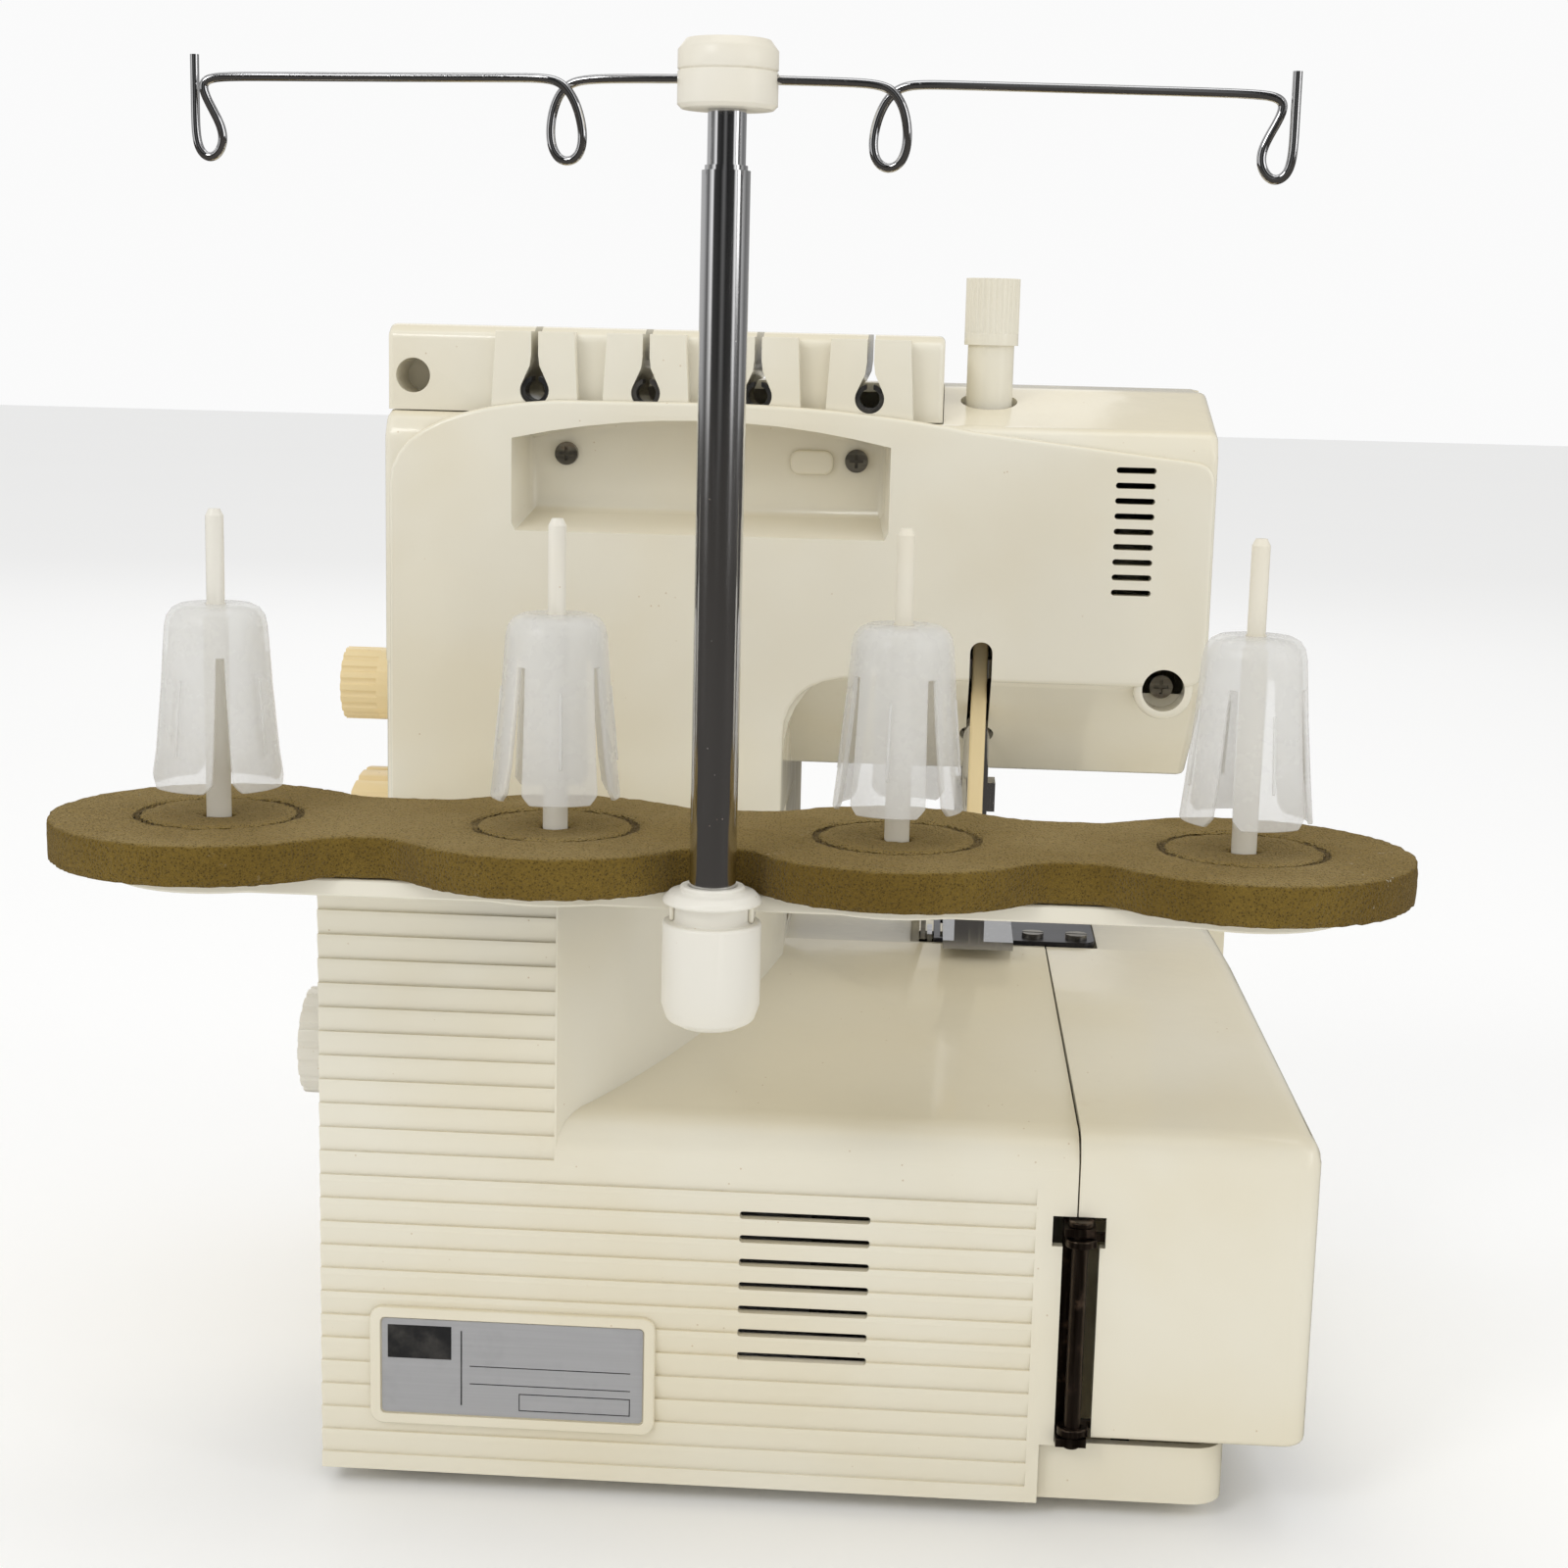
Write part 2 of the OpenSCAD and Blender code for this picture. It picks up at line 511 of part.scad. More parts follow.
// ---- Stitch forming parts ----
module needle_plate() color([0.2, 0.2, 0.21]) difference() {
  along_z(bed_z - 0.8, plate_top) soft_rect(plate_x0(), plate_x1(), bed_front_y - 0.5, plate_y1(), 4);
  for (x = [-6.8, 4.4]) box(presser_x + x, presser_x + x + 3.2, needle_y - 16, needle_y + 9, 0, 200);
  box(presser_x - 2.2, presser_x + 3.2, needle_y - 2.5, needle_y + 2.5, 0, 200);
  box(presser_x + 9.5, presser_x + 16, needle_y - 19, needle_y + 11, 0, 200);
  for (x = plate_screw_x()) bar_z(0, 200, x, plate_y1() - 6, 1.8);
}
function plate_screw_x() = [plate_x0() + 5, plate_x0() + 17];
module plate_screws() color(steel) for (x = plate_screw_x()) difference() {
  union() {
    bar_z(plate_top + 0.02, plate_top + 1.2, x, plate_y1() - 6, 3);
    bar_z(bed_z - 3, plate_top + 0.03, x, plate_y1() - 6, 1.6);
  }
  box(x - 4, x + 4, plate_y1() - 6.4, plate_y1() - 5.6, plate_top + 0.6, plate_top + 3);
}
function clamp_z() = min(plate_top + 35, head_z - 11.5);
module needle_bar() color(chrome) {
  bar_z(clamp_z() + 1, top_z - 6, presser_x, needle_y, needle_bar_r);
  box(presser_x - 6, presser_x + 5, needle_y - 5, needle_y + 5, clamp_z(), clamp_z() + 8);
}
module needles() color(steel) for (x = [-0.9, 1.5]) {
  bar_z(plate_top + 11, plate_top + 31, presser_x + x, needle_y, 0.5);
  bar_z(plate_top + 24, clamp_z() - 0.02, presser_x + x, needle_y, 0.9);
}
module presser_bar() color(chrome) {
  bar_z(plate_top + 16, top_z + 14, presser_x, presser_y, presser_r);
  box(presser_x - 6, presser_x + 6, presser_y - 5, presser_y + 5, head_z + 28, head_z + 33.5);
}
module presser_foot() color(chrome) difference() {
  union() {
    box(presser_x - 12, presser_x + 7, needle_y - 18, presser_y + 3, plate_top + 0.5, plate_top + 2.8);
    box(presser_x - 4, presser_x + 4, presser_y - 5, presser_y + 3, plate_top + 2, plate_top + 15.9);
  }
  box(presser_x - 2.6, presser_x + 3.6, needle_y - 4, needle_y + 4, plate_top - 1, plate_top + 9);
  box(presser_x - 1.6, presser_x + 1.6, needle_y - 19, needle_y - 4.01, plate_top - 1, plate_top + 9);
}
module lifter_lever() color(yellowed) difference() {
  union() {
    along_x(presser_x - lifter_t / 2, presser_x + lifter_t / 2) polygon([
      [lever_y - 3.5, lever_z + 5], [lever_y + 3.5, lever_z + 5], [lever_y + 3.5, head_z - 4],
      [lever_y + 10, head_z - 16], [lever_y + 7.5, head_z - 20], [lever_y - 1, head_z - 8],
      [lever_y - 3, lever_z - 12], [lever_y - 4.5, lever_z - 4]]);
  }
  bar_x(presser_x - 9, presser_x + 9, lever_y, lever_z, 2 + run_fit);
}
module pressure_knob() color(ivory) difference() {
  union() {
    bar_z(top_z - 9, top_z + 11.5, presser_x, presser_y, knob_r - 1);
    bar_z(top_z + 11, top_z + 28, presser_x, presser_y, knob_r);
  }
  bar_z(top_z - 10, top_z + 21, presser_x, presser_y, presser_r + run_fit);
  translate([presser_x, presser_y, top_z + 25]) cylinder(h = 4, r1 = 3.5, r2 = 6, $fn = 48);
  for (a = [0:12:348]) translate([presser_x, presser_y, 0]) rotate([0, 0, a])
    bar_z(top_z + 14, top_z + 29, knob_r + 0.35, 0, 0.6);
}
module dial(r, t, x0) difference() {
  union() {
    bar_x(x0, x0 + t, 0, 0, r);
    bar_x(x0 - wall - 4, x0 + 0.01, 0, 0, 3);
  }
  for (a = [0:20:340]) rotate([a, 0, 0]) bar_x(x0 + t * 0.5, x0 + t + 1, 0, r + 0.5, 1.1);
}
module stitch_length_dial() color(yellowed)
  translate([0, shaft_y, head_z + 18]) dial(dial_r, 20, side_x + 0.6);
module feed_dial() color(ivory)
  translate([0, feed_y(), feed_z()]) dial(feed_dial_r, 13, side_x + 0.6);
module tension_dial(i, tint) color(tint) translate([0, head_front + 6.5, dial_z()]) difference() {
  union() {
    bar_x(dial_x(i) - 4.2, dial_x(i) + 4.2, 0, 0, tension_r);
    bar_x(dial_x(i) - 9, dial_x(i) + 9, 0, 0, 3);
  }
  for (a = [0:15:345]) rotate([a, 0, 0])
    bar_x(dial_x(i) - 9, dial_x(i) + 9, 0, tension_r + 0.3, 0.8);
}
module tension_dial_1() tension_dial(0, [0.75, 0.75, 0.85]);
module tension_dial_2() tension_dial(1, [0.85, 0.6, 0.65]);
module tension_dial_3() tension_dial(2, [0.55, 0.68, 0.85]);
module tension_dial_4() tension_dial(3, [0.88, 0.82, 0.5]);
module looper(x, lean, y) {
  bar_y(y, needle_y - 2, x, looper_z, 4);
  along_y(y, y + 4) translate([x, looper_z]) polygon([[-5 * lean, 0],
    [5 * lean, 0], [3 * lean, 26], [20 * lean, 34], [20 * lean, 36.5], [-lean, 31],
    [-3.5 * lean, 26]]);
}
module upper_looper() color(chrome) looper(upper_x(), -1, needle_y - 37);
module lower_looper() color(chrome) looper(lower_x(), 1, needle_y - 31);
module feed_dog() color(steel) difference() {
  union() {
    for (x = [-6.2, 5]) box(presser_x + x, presser_x + x + 2, needle_y - 13, needle_y + 6,
      bed_z - 6, plate_top - 0.1);
    box(presser_x - 7, presser_x + 7.8, needle_y - 13, needle_y + 6, bed_z - 8, bed_z - 4);
    bar_y(needle_y + 5, needle_y + 20, presser_x, bed_z - 9.5, 3);
  }
  box(presser_x - 3, presser_x + 4, needle_y - 3.5, needle_y + 3.5, bed_z - 9, bed_z + 3);
  for (i = [0:8]) box(presser_x - 9, presser_x + 9, needle_y - 12 + i * 2, needle_y - 11.2 + i * 2,
    plate_top - 0.9, plate_top + 1);
}
module lower_knife() color(steel) box(presser_x + 9.9, presser_x + 11.3, needle_y - 6, needle_y + 6,
  bed_z - 18, plate_top);
module upper_knife() color(steel) {
  box(presser_x + 11.7, presser_x + 13.1, needle_y - 6, needle_y + 8, plate_top - 1, plate_top + 16);
  box(presser_x + 11.7, col_x + 7, needle_y - 2, needle_y + 6, plate_top + 9, plate_top + 13);
}

// ---- Side door and front cover ----
module door_plan(inset) offset(delta = -inset) polygon(concat(
  [[seam_x - door_gap / 2, rear_y]], arc(door_x + 8, rear_y - 8, 8, 90, 180, 6),
  [[door_x + 11, knee_y], [door_x + 14, front_y + 4], [seam_x + 7 - door_gap / 2, front_y + 4],
  [seam_x + 7 - door_gap / 2, bed_front_y], [seam_x + 5 - door_gap / 2, knee_y]]));
module door_profile(inset) offset(delta = -inset) polygon(concat(
  [[rear_y, base_z + 17]],
  arc(rear_y - bed_round, bed_h - bed_round, bed_round, 0, 90, 6),
  [[knee_y, bed_z], [bed_front_y, bed_z], [front_y + 4, bed_z - 9], [front_y + 4, base_z + 17]]));
module side_door() color(ivory) difference() {
  intersection() {
    along_x(door_x, seam_x + 9) door_profile(0);
    along_z(0, crown_z) door_plan(0);
  }
  intersection() {
    along_x(door_x, seam_x + 9) offset(delta = 0.01) union() {
      door_profile(wall);
      translate([front_y, base_z - 9]) square([rear_y - wall - front_y, 32]);
    }
    along_z(0, crown_z) union() {
      door_plan(wall);
      translate([door_x + 25, front_y - 1]) square([60, rear_y - wall - front_y]);
    }
  }
  // hinge channel, and the needle plate's corner
  box(seam_x - 5.2, seam_x + 2, rear_y - 7, rear_y + 1, base_z, hinge_z1 - 5);
  box(seam_x - 6.5, seam_x + 2, rear_y - 7, rear_y + 1, hinge_z1 - 5.01, hinge_z1 + 2.5);
  box(plate_x0() - 0.6, seam_x + 30, front_y - 1, plate_y1() + 0.6, bed_z - 3.5, bed_z + 3);
}
module hinge_bracket() color([0.25, 0.2, 0.17]) difference() {
  union() {
    box(seam_x - 0.2, seam_x + 3.3, rear_y - 6.5, rear_y - 5, hinge_z0, hinge_z1 + 1);
    for (z = [hinge_z0, hinge_z1 - 1.5]) {
      box(seam_x - 4, seam_x + 3.3, rear_y - 6.5, rear_y + 3, z, z + 2);
    }
  }
  bar_z(0, 200, hinge_x, hinge_y, 1.99);
}
module hinge_rod() color([0.3, 0.24, 0.2]) difference() {
  union() {
    bar_z(hinge_z0 - 1, hinge_z1 + 1.5, hinge_x, hinge_y, 1.98);
    bar_z(hinge_z1 + 0.52, hinge_z1 + 2, hinge_x, hinge_y, 3);
  }
}
module door_knuckles() color([0.3, 0.24, 0.2]) difference() {
  for (z = [hinge_z0 + 2.4, hinge_z1 - 4.4]) {
    box(seam_x - 15, hinge_x - 1, rear_y - wall - 2, rear_y - wall - 0.02, z, z + 2);
    box(seam_x - 4.4, hinge_x, rear_y - wall - 2, rear_y + 2.2, z, z + 2);
    bar_z(z, z + 2, hinge_x, hinge_y, 3.6);
  }
  bar_z(0, 200, hinge_x, hinge_y, 1.98 + run_fit);
}
module front_cover() color(ivory) difference() {
  union() {
    box(door_x + 3, col_x + 8.5, front_y, front_y + wall, base_z + 4, bed_z - 12);
    box(door_x + 17, col_x + 8.5, front_y + 0.01, front_y + 6, base_z + 4, base_z + 6.5);
    box(seam_x + 11, col_x - 1, front_y + 1, bed_front_y - 3, bed_z - 14.5, bed_z - 12);
  }
  box(door_x + 50, door_x + 74, front_y - 1, front_y + 1.2, bed_z - 26, bed_z - 20);
}

// ---- Lamp, inlet and switch ----
module lamp_socket() color(black) {
  bar_z(top_z - 33, top_z - 12, head_x + 20, head_y - 30, 7);
  box(head_x + 10, nose_x - 0.3, head_y - 38, head_y - 34, top_z - 30, top_z - 20);
}
module lamp_bulb() color([1, 0.97, 0.88]) {
  bar_z(top_z - 60, top_z - 33.02, head_x + 20, head_y - 30, 6.5);
  translate([head_x + 20, head_y - 30, top_z - 60]) sphere(r = 6.5, $fn = 24);
}
module power_inlet() color(black) difference() {
  union() {
    box(side_x - 16, side_x + 0.5, inlet_y() - 12.8, inlet_y() + 12.8, base_z + 18.2, base_z + 35.8);
    box(side_x + 0.02, side_x + 1.5, inlet_y() - 15, inlet_y() + 15, base_z + 16, base_z + 38);
  }
  box(side_x - 13, side_x + 2, inlet_y() - 10, inlet_y() + 10, base_z + 21, base_z + 33);
}
module power_switch() color(black) intersection() {
  bar_y(inlet_y() - 40.6, inlet_y() - 21.4, side_x - 6, base_z + 27, 9.2);
  box(side_x - 8, side_x + 9, inlet_y() - 40.6, inlet_y() - 21.4, base_z + 20.4, base_z + 33.6);
}

// ---- Thread stand ----
function pin_x(i) = (1.5 - i) * pin_pitch;
module stand_bracket() color(steel) difference() {
  union() {
    box(side_x - 80, side_x - 30, stay_y() - 7, row_y + 4, block_z + 0.01, block_z + 0.99);
    box(side_x - 80, side_x - 30, stay_y() - 7, stay_y() - 5.5, block_z + 0.02, block_z + 3);
  }
  for (x = [side_x - 40, side_x - 70]) bar_z(block_z - 9, block_z + 9, x, stay_y(), 2.2);
}
module spool_tray() color(ivory) difference() {
  union() {
    along_z(block_z + 1, stand_z - foam_t) tray_plan(0);
    along_z(block_z + 1, stand_z - foam_t)
      translate([0, row_y + mast_off / 2 + 4]) square([18, mast_off - 4], center = true);
  }
  bar_z(block_z, stand_z, 0, mast_y, cup_r - 2.5);
}
module tray_plan(inset) offset(r = -6, $fn = 24) offset(r = 6, $fn = 24) union() {
  for (i = [0:3]) translate([pin_x(i), row_y]) circle(r = foam_r * 0.63, $fn = 40);
  translate([-1.5 * pin_pitch, row_y - 20]) square([3 * pin_pitch, 41]);
}
module foam_plan() offset(r = -9, $fn = 32) offset(r = 9, $fn = 32) difference() {
  union() {
    for (i = [0:3]) translate([pin_x(i), row_y]) circle(r = foam_r, $fn = 64);
    translate([-1.5 * pin_pitch, row_y - foam_r * 0.7])
      square([3 * pin_pitch, foam_r * 1.28]);
  }
  translate([0, mast_y + 1]) circle(r = cup_r + 1.5, $fn = 40);
}
module foam_pad() color([0.42, 0.35, 0.16]) difference() {
  along_z(stand_z - foam_t + 0.02, stand_z) foam_plan();
  for (i = [0:3]) bar_z(stand_z - foam_t - 1, stand_z + 1, pin_x(i), row_y, pin_r + 0.35);
}
// Foot, shoulder under the cone holder, and free end of each pin
module spool_pins() color([0.95, 0.94, 0.9]) for (i = [0:3]) translate([pin_x(i), row_y, 0]) {
  bar_z(stand_z - foam_t + 0.02, cone_z + cone_h - 3.05, 0, 0, pin_r);
  bar_z(cone_z + cone_h - 3.06, cone_z + cone_h + 0.2, 0, 0, pin_r * 0.8);
  bar_z(cone_z + cone_h + 0.19, stand_z + pin_h - 1.5, 0, 0, pin_r * 0.72);
  translate([0, 0, stand_z + pin_h - 1.51])
    cylinder(h = 1.51, r1 = pin_r * 0.72, r2 = pin_r * 0.45, $fn = 48);
}
// Slotted cone holder resting on the pin's shoulder
module cone_holder(i, turn) color([0.95, 0.95, 0.93, 0.7])
  translate([pin_x(i), row_y, cone_z]) rotate([0, 0, turn]) difference() {
    rotate_extrude($fn = 64) polygon([[pin_r * 0.8 + 0.35, cone_h - 3], [pin_r * 0.8 + 0.35, cone_h],
      [8, cone_h], [10.2, cone_h - 1.5], [11.4, cone_h - 5], [14.6, 0], [14.6 - cone_wall, 0],
      [11.4 - cone_wall, cone_h - 5.5], [9.6, cone_h - 3]]);
    for (a = [0:90:270]) rotate([0, 0, a]) translate([6, -1.3, -1]) cube([12, 2.6, cone_h * 0.72]);
  }
module cone_holder_1() cone_holder(0, 20);
module cone_holder_2() cone_holder(1, 58);
module cone_holder_3() cone_holder(2, 35);
module cone_holder_4() cone_holder(3, 62);

module mast_cup() color([0.95, 0.94, 0.9]) difference() {
  translate([0, mast_y, 0]) rotate_extrude($fn = 64) polygon([[0, stand_z - 37],
    [cup_r - 4, stand_z - 37], [cup_r - 1.2, stand_z - 35.5], [cup_r, stand_z - 32], [cup_r, stand_z - 9],
    [cup_r - 1.4, stand_z - 7.6], [mast_r + 2, stand_z - 7.2], [mast_r + 2, stand_z - 6.2],
    [0, stand_z - 6.2]]);
  bar_z(stand_z - 33, stand_z, 0, mast_y, mast_r + 0.01);
  // seat on the tray
  difference() {
    box(-30, 30, mast_y - 30, mast_y + 30, block_z + 0.98, stand_z - foam_t + 0.02);
    bar_z(block_z, stand_z, 0, mast_y, cup_r - 2.52);
  }
}
module mast_tube() color(chrome) difference() {
  union() {
    bar_z(stand_z - 32.98, stand_z + mast_h - 1, 0, mast_y, mast_r);
    bar_z(stand_z + mast_h - 1.01, stand_z + mast_h, 0, mast_y, mast_r - 0.6);
  }
  bar_z(stand_z - 34, stand_z + mast_h + 1, 0, mast_y, mast_r - mast_wall);
}
module mast_inner() color(chrome) difference() {
  bar_z(stand_z - 12, stand_z + mast_h + 22, 0, mast_y, mast_r - mast_wall - run_fit);
  bar_z(stand_z - 13, stand_z + mast_h + 23, 0, mast_y, mast_r - mast_wall - run_fit - 0.8);
}
module guide_cap() color([0.95, 0.94, 0.9]) difference() {
  translate([0, mast_y, stand_z + mast_h + 11]) rotate_extrude($fn = 64) polygon([[0, 0],
    [cup_r - 1.2, 0], [cup_r - 0.4, 0.8], [cup_r - 0.4, 7.2], [cup_r - 0.8, 7.5], [cup_r - 0.4, 7.8],
    [cup_r - 0.4, 11.5], [cup_r - 2, 13.6], [0, 14]]);
  bar_z(stand_z + mast_h + 10, stand_z + mast_h + 22.3, 0, mast_y, mast_r - mast_wall);
  translate([0, mast_y, wire_z()]) rotate([0, 0, wire_turn]) bar_x(-30, 30, 0, 0, wire_d / 2 + 0.01);
}
function wire_z() = stand_z + mast_h + 17;
// Bent wire: straight arms, four hanging eyelets, short end posts
module guide_wire() color(chrome) translate([0, mast_y, wire_z()]) rotate([0, 0, wire_turn])
  for (s = [-1, 1]) union() {
    bar_x(min(s * (cup_r - 4), s * (1.5 * pin_pitch - 3)), max(s * (cup_r - 4), s * (1.5 * pin_pitch - 3)),
      0, 0, wire_d / 2);
    eyelet(s * (pin_pitch / 2 - 1.5), s, 0.4);
    eyelet(s * (1.5 * pin_pitch - 3), s, 5);
  }
// Hanging teardrop: straight outer leg, round foot, leg leaning back to the arm
module eyelet(x, s, post) translate([x, 0, 0]) rotate([0, 0, s > 0 ? 180 : 0]) {
  leg_r = wire_d / 2 - 0.06;
  bar_z(-13, post, 0, 0, leg_r);
  translate([3.2, 0, -13]) rotate([90, 0, 0]) rotate([0, 0, 180])
    rotate_extrude(angle = 180, $fn = 32) translate([3.2, 0]) circle(r = leg_r, $fn = 16);
  translate([6.4, 0, -13]) rotate([0, -22, 0]) cylinder(r = leg_r, h = 14.2, $fn = 16);
  // weld beads at the bends
  for (p = [[0, 0, -13], [6.4, 0, -13], [0, 0, 0], [0.9, 0, 0]]) translate(p) sphere(d = wire_d + 0.3, $fn = 24);
}

base_pan();
rubber_feet();
frame_casting();
rear_cover();
front_housing();
head_rear_cover();
head_front_cover();
thread_block();
thread_eyelets();
case_screws();
rating_plate();
hinge_bracket();
hinge_rod();
side_door();
door_knuckles();
front_cover();
shaft_bushes();
main_shaft();
handwheel();
shaft_pulley();
motor();
motor_pulley();
drive_belt();
needle_plate();
plate_screws();
needle_bar();
needles();
presser_bar();
presser_foot();
lifter_lever();
pressure_knob();
stitch_length_dial();
feed_dial();
tension_dial_1();
tension_dial_2();
tension_dial_3();
tension_dial_4();
upper_looper();
lower_looper();
feed_dog();
lower_knife();
upper_knife();
lamp_socket();
lamp_bulb();
power_inlet();
power_switch();
stand_bracket();
spool_tray();
foam_pad();
spool_pins();
cone_holder_1();
cone_holder_2();
cone_holder_3();
cone_holder_4();
mast_cup();
mast_tube();
mast_inner();
guide_cap();
guide_wire();
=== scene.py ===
import json
import math
import bmesh
import bpy
from mathutils import Matrix, Vector, noise


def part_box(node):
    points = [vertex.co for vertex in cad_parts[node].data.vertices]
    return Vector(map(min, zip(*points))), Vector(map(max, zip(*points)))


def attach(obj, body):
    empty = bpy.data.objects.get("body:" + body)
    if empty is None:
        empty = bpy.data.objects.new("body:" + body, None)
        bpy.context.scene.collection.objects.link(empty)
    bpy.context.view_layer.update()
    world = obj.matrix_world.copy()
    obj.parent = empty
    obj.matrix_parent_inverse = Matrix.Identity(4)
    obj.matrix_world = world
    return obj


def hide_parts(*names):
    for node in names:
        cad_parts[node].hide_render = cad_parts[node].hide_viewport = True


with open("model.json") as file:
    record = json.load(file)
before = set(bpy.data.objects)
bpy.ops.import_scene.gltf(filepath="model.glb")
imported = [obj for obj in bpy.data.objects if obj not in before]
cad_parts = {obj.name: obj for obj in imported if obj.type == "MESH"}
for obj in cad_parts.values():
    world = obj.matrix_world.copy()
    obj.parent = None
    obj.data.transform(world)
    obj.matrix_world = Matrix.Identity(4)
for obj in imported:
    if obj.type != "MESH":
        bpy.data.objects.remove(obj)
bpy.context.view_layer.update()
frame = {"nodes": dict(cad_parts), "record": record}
nodes = frame["nodes"]
bodyOf = {node: body for body, members in frame["record"]["behaviour"]["bodies"].items() for node in members}


def spans(node):  # x, y and z spans of a CAD node, in millimetres
    low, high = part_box(node)
    return [(low[i] * 1000, high[i] * 1000) for i in range(3)]


(headEnd, sideX), (splitY, headBack), (headLow, headTop) = spans("head_rear_cover")
(blockEnd, _), _, (blockLow, crownZ) = spans("thread_block")
(seamX, _), (bedFront, _), (baseZ, _) = spans("rear_cover")
(pinLeft, pinRight), (pinNear, pinFar), _ = spans("spool_pins")
mastY = sum(spans("mast_tube")[1]) / 2
pinWidth = 5.6
pinPitch = (pinRight - pinLeft - pinWidth) / 3
pinRow = (pinNear + pinFar) / 2
ringRadius = 18.2  # of the ring pressed into the foam round each spool pin
print("frame loaded:", len(nodes), "nodes")


# sums on sockets, so that a finish is written as maths
class Wire:
    def __init__(self, recipe, socket):
        self.recipe = recipe
        self.socket = socket

    def join(self, operation, left, right):
        return self.recipe.add("ShaderNodeMath", {"operation": operation}, {0: left, 1: right})

    def __add__(self, other):
        return self.join("ADD", self, other)

    def __radd__(self, other):
        return self.join("ADD", other, self)

    def __sub__(self, other):
        return self.join("SUBTRACT", self, other)

    def __rsub__(self, other):
        return self.join("SUBTRACT", other, self)

    def __mul__(self, other):
        return self.join("MULTIPLY", self, other)

    def __rmul__(self, other):
        return self.join("MULTIPLY", other, self)

    def __pow__(self, other):
        return self.join("POWER", self, other)

    def size(self):  # the value without its sign
        return self.join("ABSOLUTE", self, 0.0)

    def between(self, low, high):  # rises smoothly from 0 to 1 as the value goes from low to high
        return self.recipe.add("ShaderNodeMapRange", {"clamp": True, "interpolation_type": "SMOOTHSTEP"},
                               {0: self, 1: low, 2: high, 3: 0.0, 4: 1.0})


class Recipe:  # the nodes of one material, or of the world
    def __init__(self, name, owners=bpy.data.materials, output="ShaderNodeOutputMaterial", space="Object"):
        self.owner = owners.new(name)
        self.owner.use_nodes = True
        self.tree = self.owner.node_tree
        self.tree.nodes.clear()
        self.output = self.tree.nodes.new(output)
        self.place = self.add("ShaderNodeTexCoord", {}, {}, space)

    def add(self, kind, settings, sockets, result=0):
        node = self.tree.nodes.new(kind)
        for key, value in settings.items():
            if key == "stops":
                ramp = node.color_ramp.elements
                while len(ramp) < len(value):
                    ramp.new(0.5)
                for stop, (spot, colour) in zip(ramp, value):
                    stop.position = spot
                    stop.color = (*colour, 1)
            else:
                setattr(node, key, value)
        for key, value in sockets.items():
            if isinstance(value, Wire):
                self.tree.links.new(value.socket, node.inputs[key])
            else:
                node.inputs[key].default_value = value
        return Wire(self, node.outputs[result])

    def stretch(self, x, y, z):  # object coordinates scaled along each axis
        return self.add("ShaderNodeMapping", {}, {"Vector": self.place, "Scale": (x, y, z)})

    def grain(self, scale, detail=2.0, place=None, roughness=0.5):
        return self.add("ShaderNodeTexNoise", {}, {"Vector": place or self.place, "Scale": scale,
                                                   "Detail": detail, "Roughness": roughness})

    def cells(self, scale):
        return self.add("ShaderNodeTexVoronoi", {}, {"Vector": self.place, "Scale": scale}, "Distance")

    def axis(self, index):
        return self.add("ShaderNodeSeparateXYZ", {}, {0: self.place}, index)

    def facing(self, index):  # how far the surface faces along an axis
        normal = self.add("ShaderNodeNewGeometry", {}, {}, "Normal")
        return self.add("ShaderNodeSeparateXYZ", {}, {0: normal}, index)

    def ray(self, kind):  # 1 for light rays of a kind, else 0
        return self.add("ShaderNodeLightPath", {}, {}, kind)

    def blend(self, share, first, second):
        def colour(value):
            return value if isinstance(value, Wire) else (*value, 1)
        return self.add("ShaderNodeMix", {"data_type": "RGBA"},
                        {0: share, 6: colour(first), 7: colour(second)}, 2)

    def bump(self, height, depth, after=None):
        sockets = {"Height": height, "Distance": depth, "Strength": 1.0}
        if after:
            sockets["Normal"] = after
        return self.add("ShaderNodeBump", {}, sockets)

    def surface(self, sockets, kind="ShaderNodeBsdfPrincipled"):
        shader = self.add(kind, {}, sockets)
        self.tree.links.new(shader.socket, self.output.inputs["Surface"])
        return self.owner


# finishes: the wear, dust and marks of each material, and on the foam painted light and shade
def mouldedPlastic(name, look):
    r = Recipe(name)
    cloudy = r.grain(14, 3).between(0.42, 0.68)
    colour = r.blend(cloudy * look["cloud"], look["fresh"], look["aged"])
    low = r.axis(2).between(0.13, 0.02) * r.grain(9, 2).between(0.3, 0.6)  # towards the table
    colour = r.blend(low * look["lowYellow"], colour, look["aged"])
    sunned = r.facing(2).between(0.5, 0.95) * r.grain(7, 2).between(0.2, 0.6)
    colour = r.blend(sunned * look["topYellow"], colour, look["aged"])
    stain = r.grain(31, 4, roughness=0.65).between(0.66, 0.76) * look["stain"]
    colour = r.blend(stain, colour, look["stained"])
    speck = r.cells(260).between(0.075, 0.045) * r.grain(60, 1).between(0.55, 0.62)
    colour = r.blend(speck * 0.5, colour, look["stained"])
    handled = r.grain(46, 4).between(0.4, 0.75)
    rubs = r.grain(120, 3, r.stretch(1, 1, 0.12)).between(0.56, 0.74)
    rough = handled * 0.07 + rubs * 0.06 + look["rough"]
    ripple = r.bump(r.grain(170, 2), look["ripple"])
    fine = r.bump(r.grain(2600, 2), 0.000006, ripple)
    return r.surface({"Base Color": colour, "Roughness": rough, "Normal": fine, "IOR": 1.5})


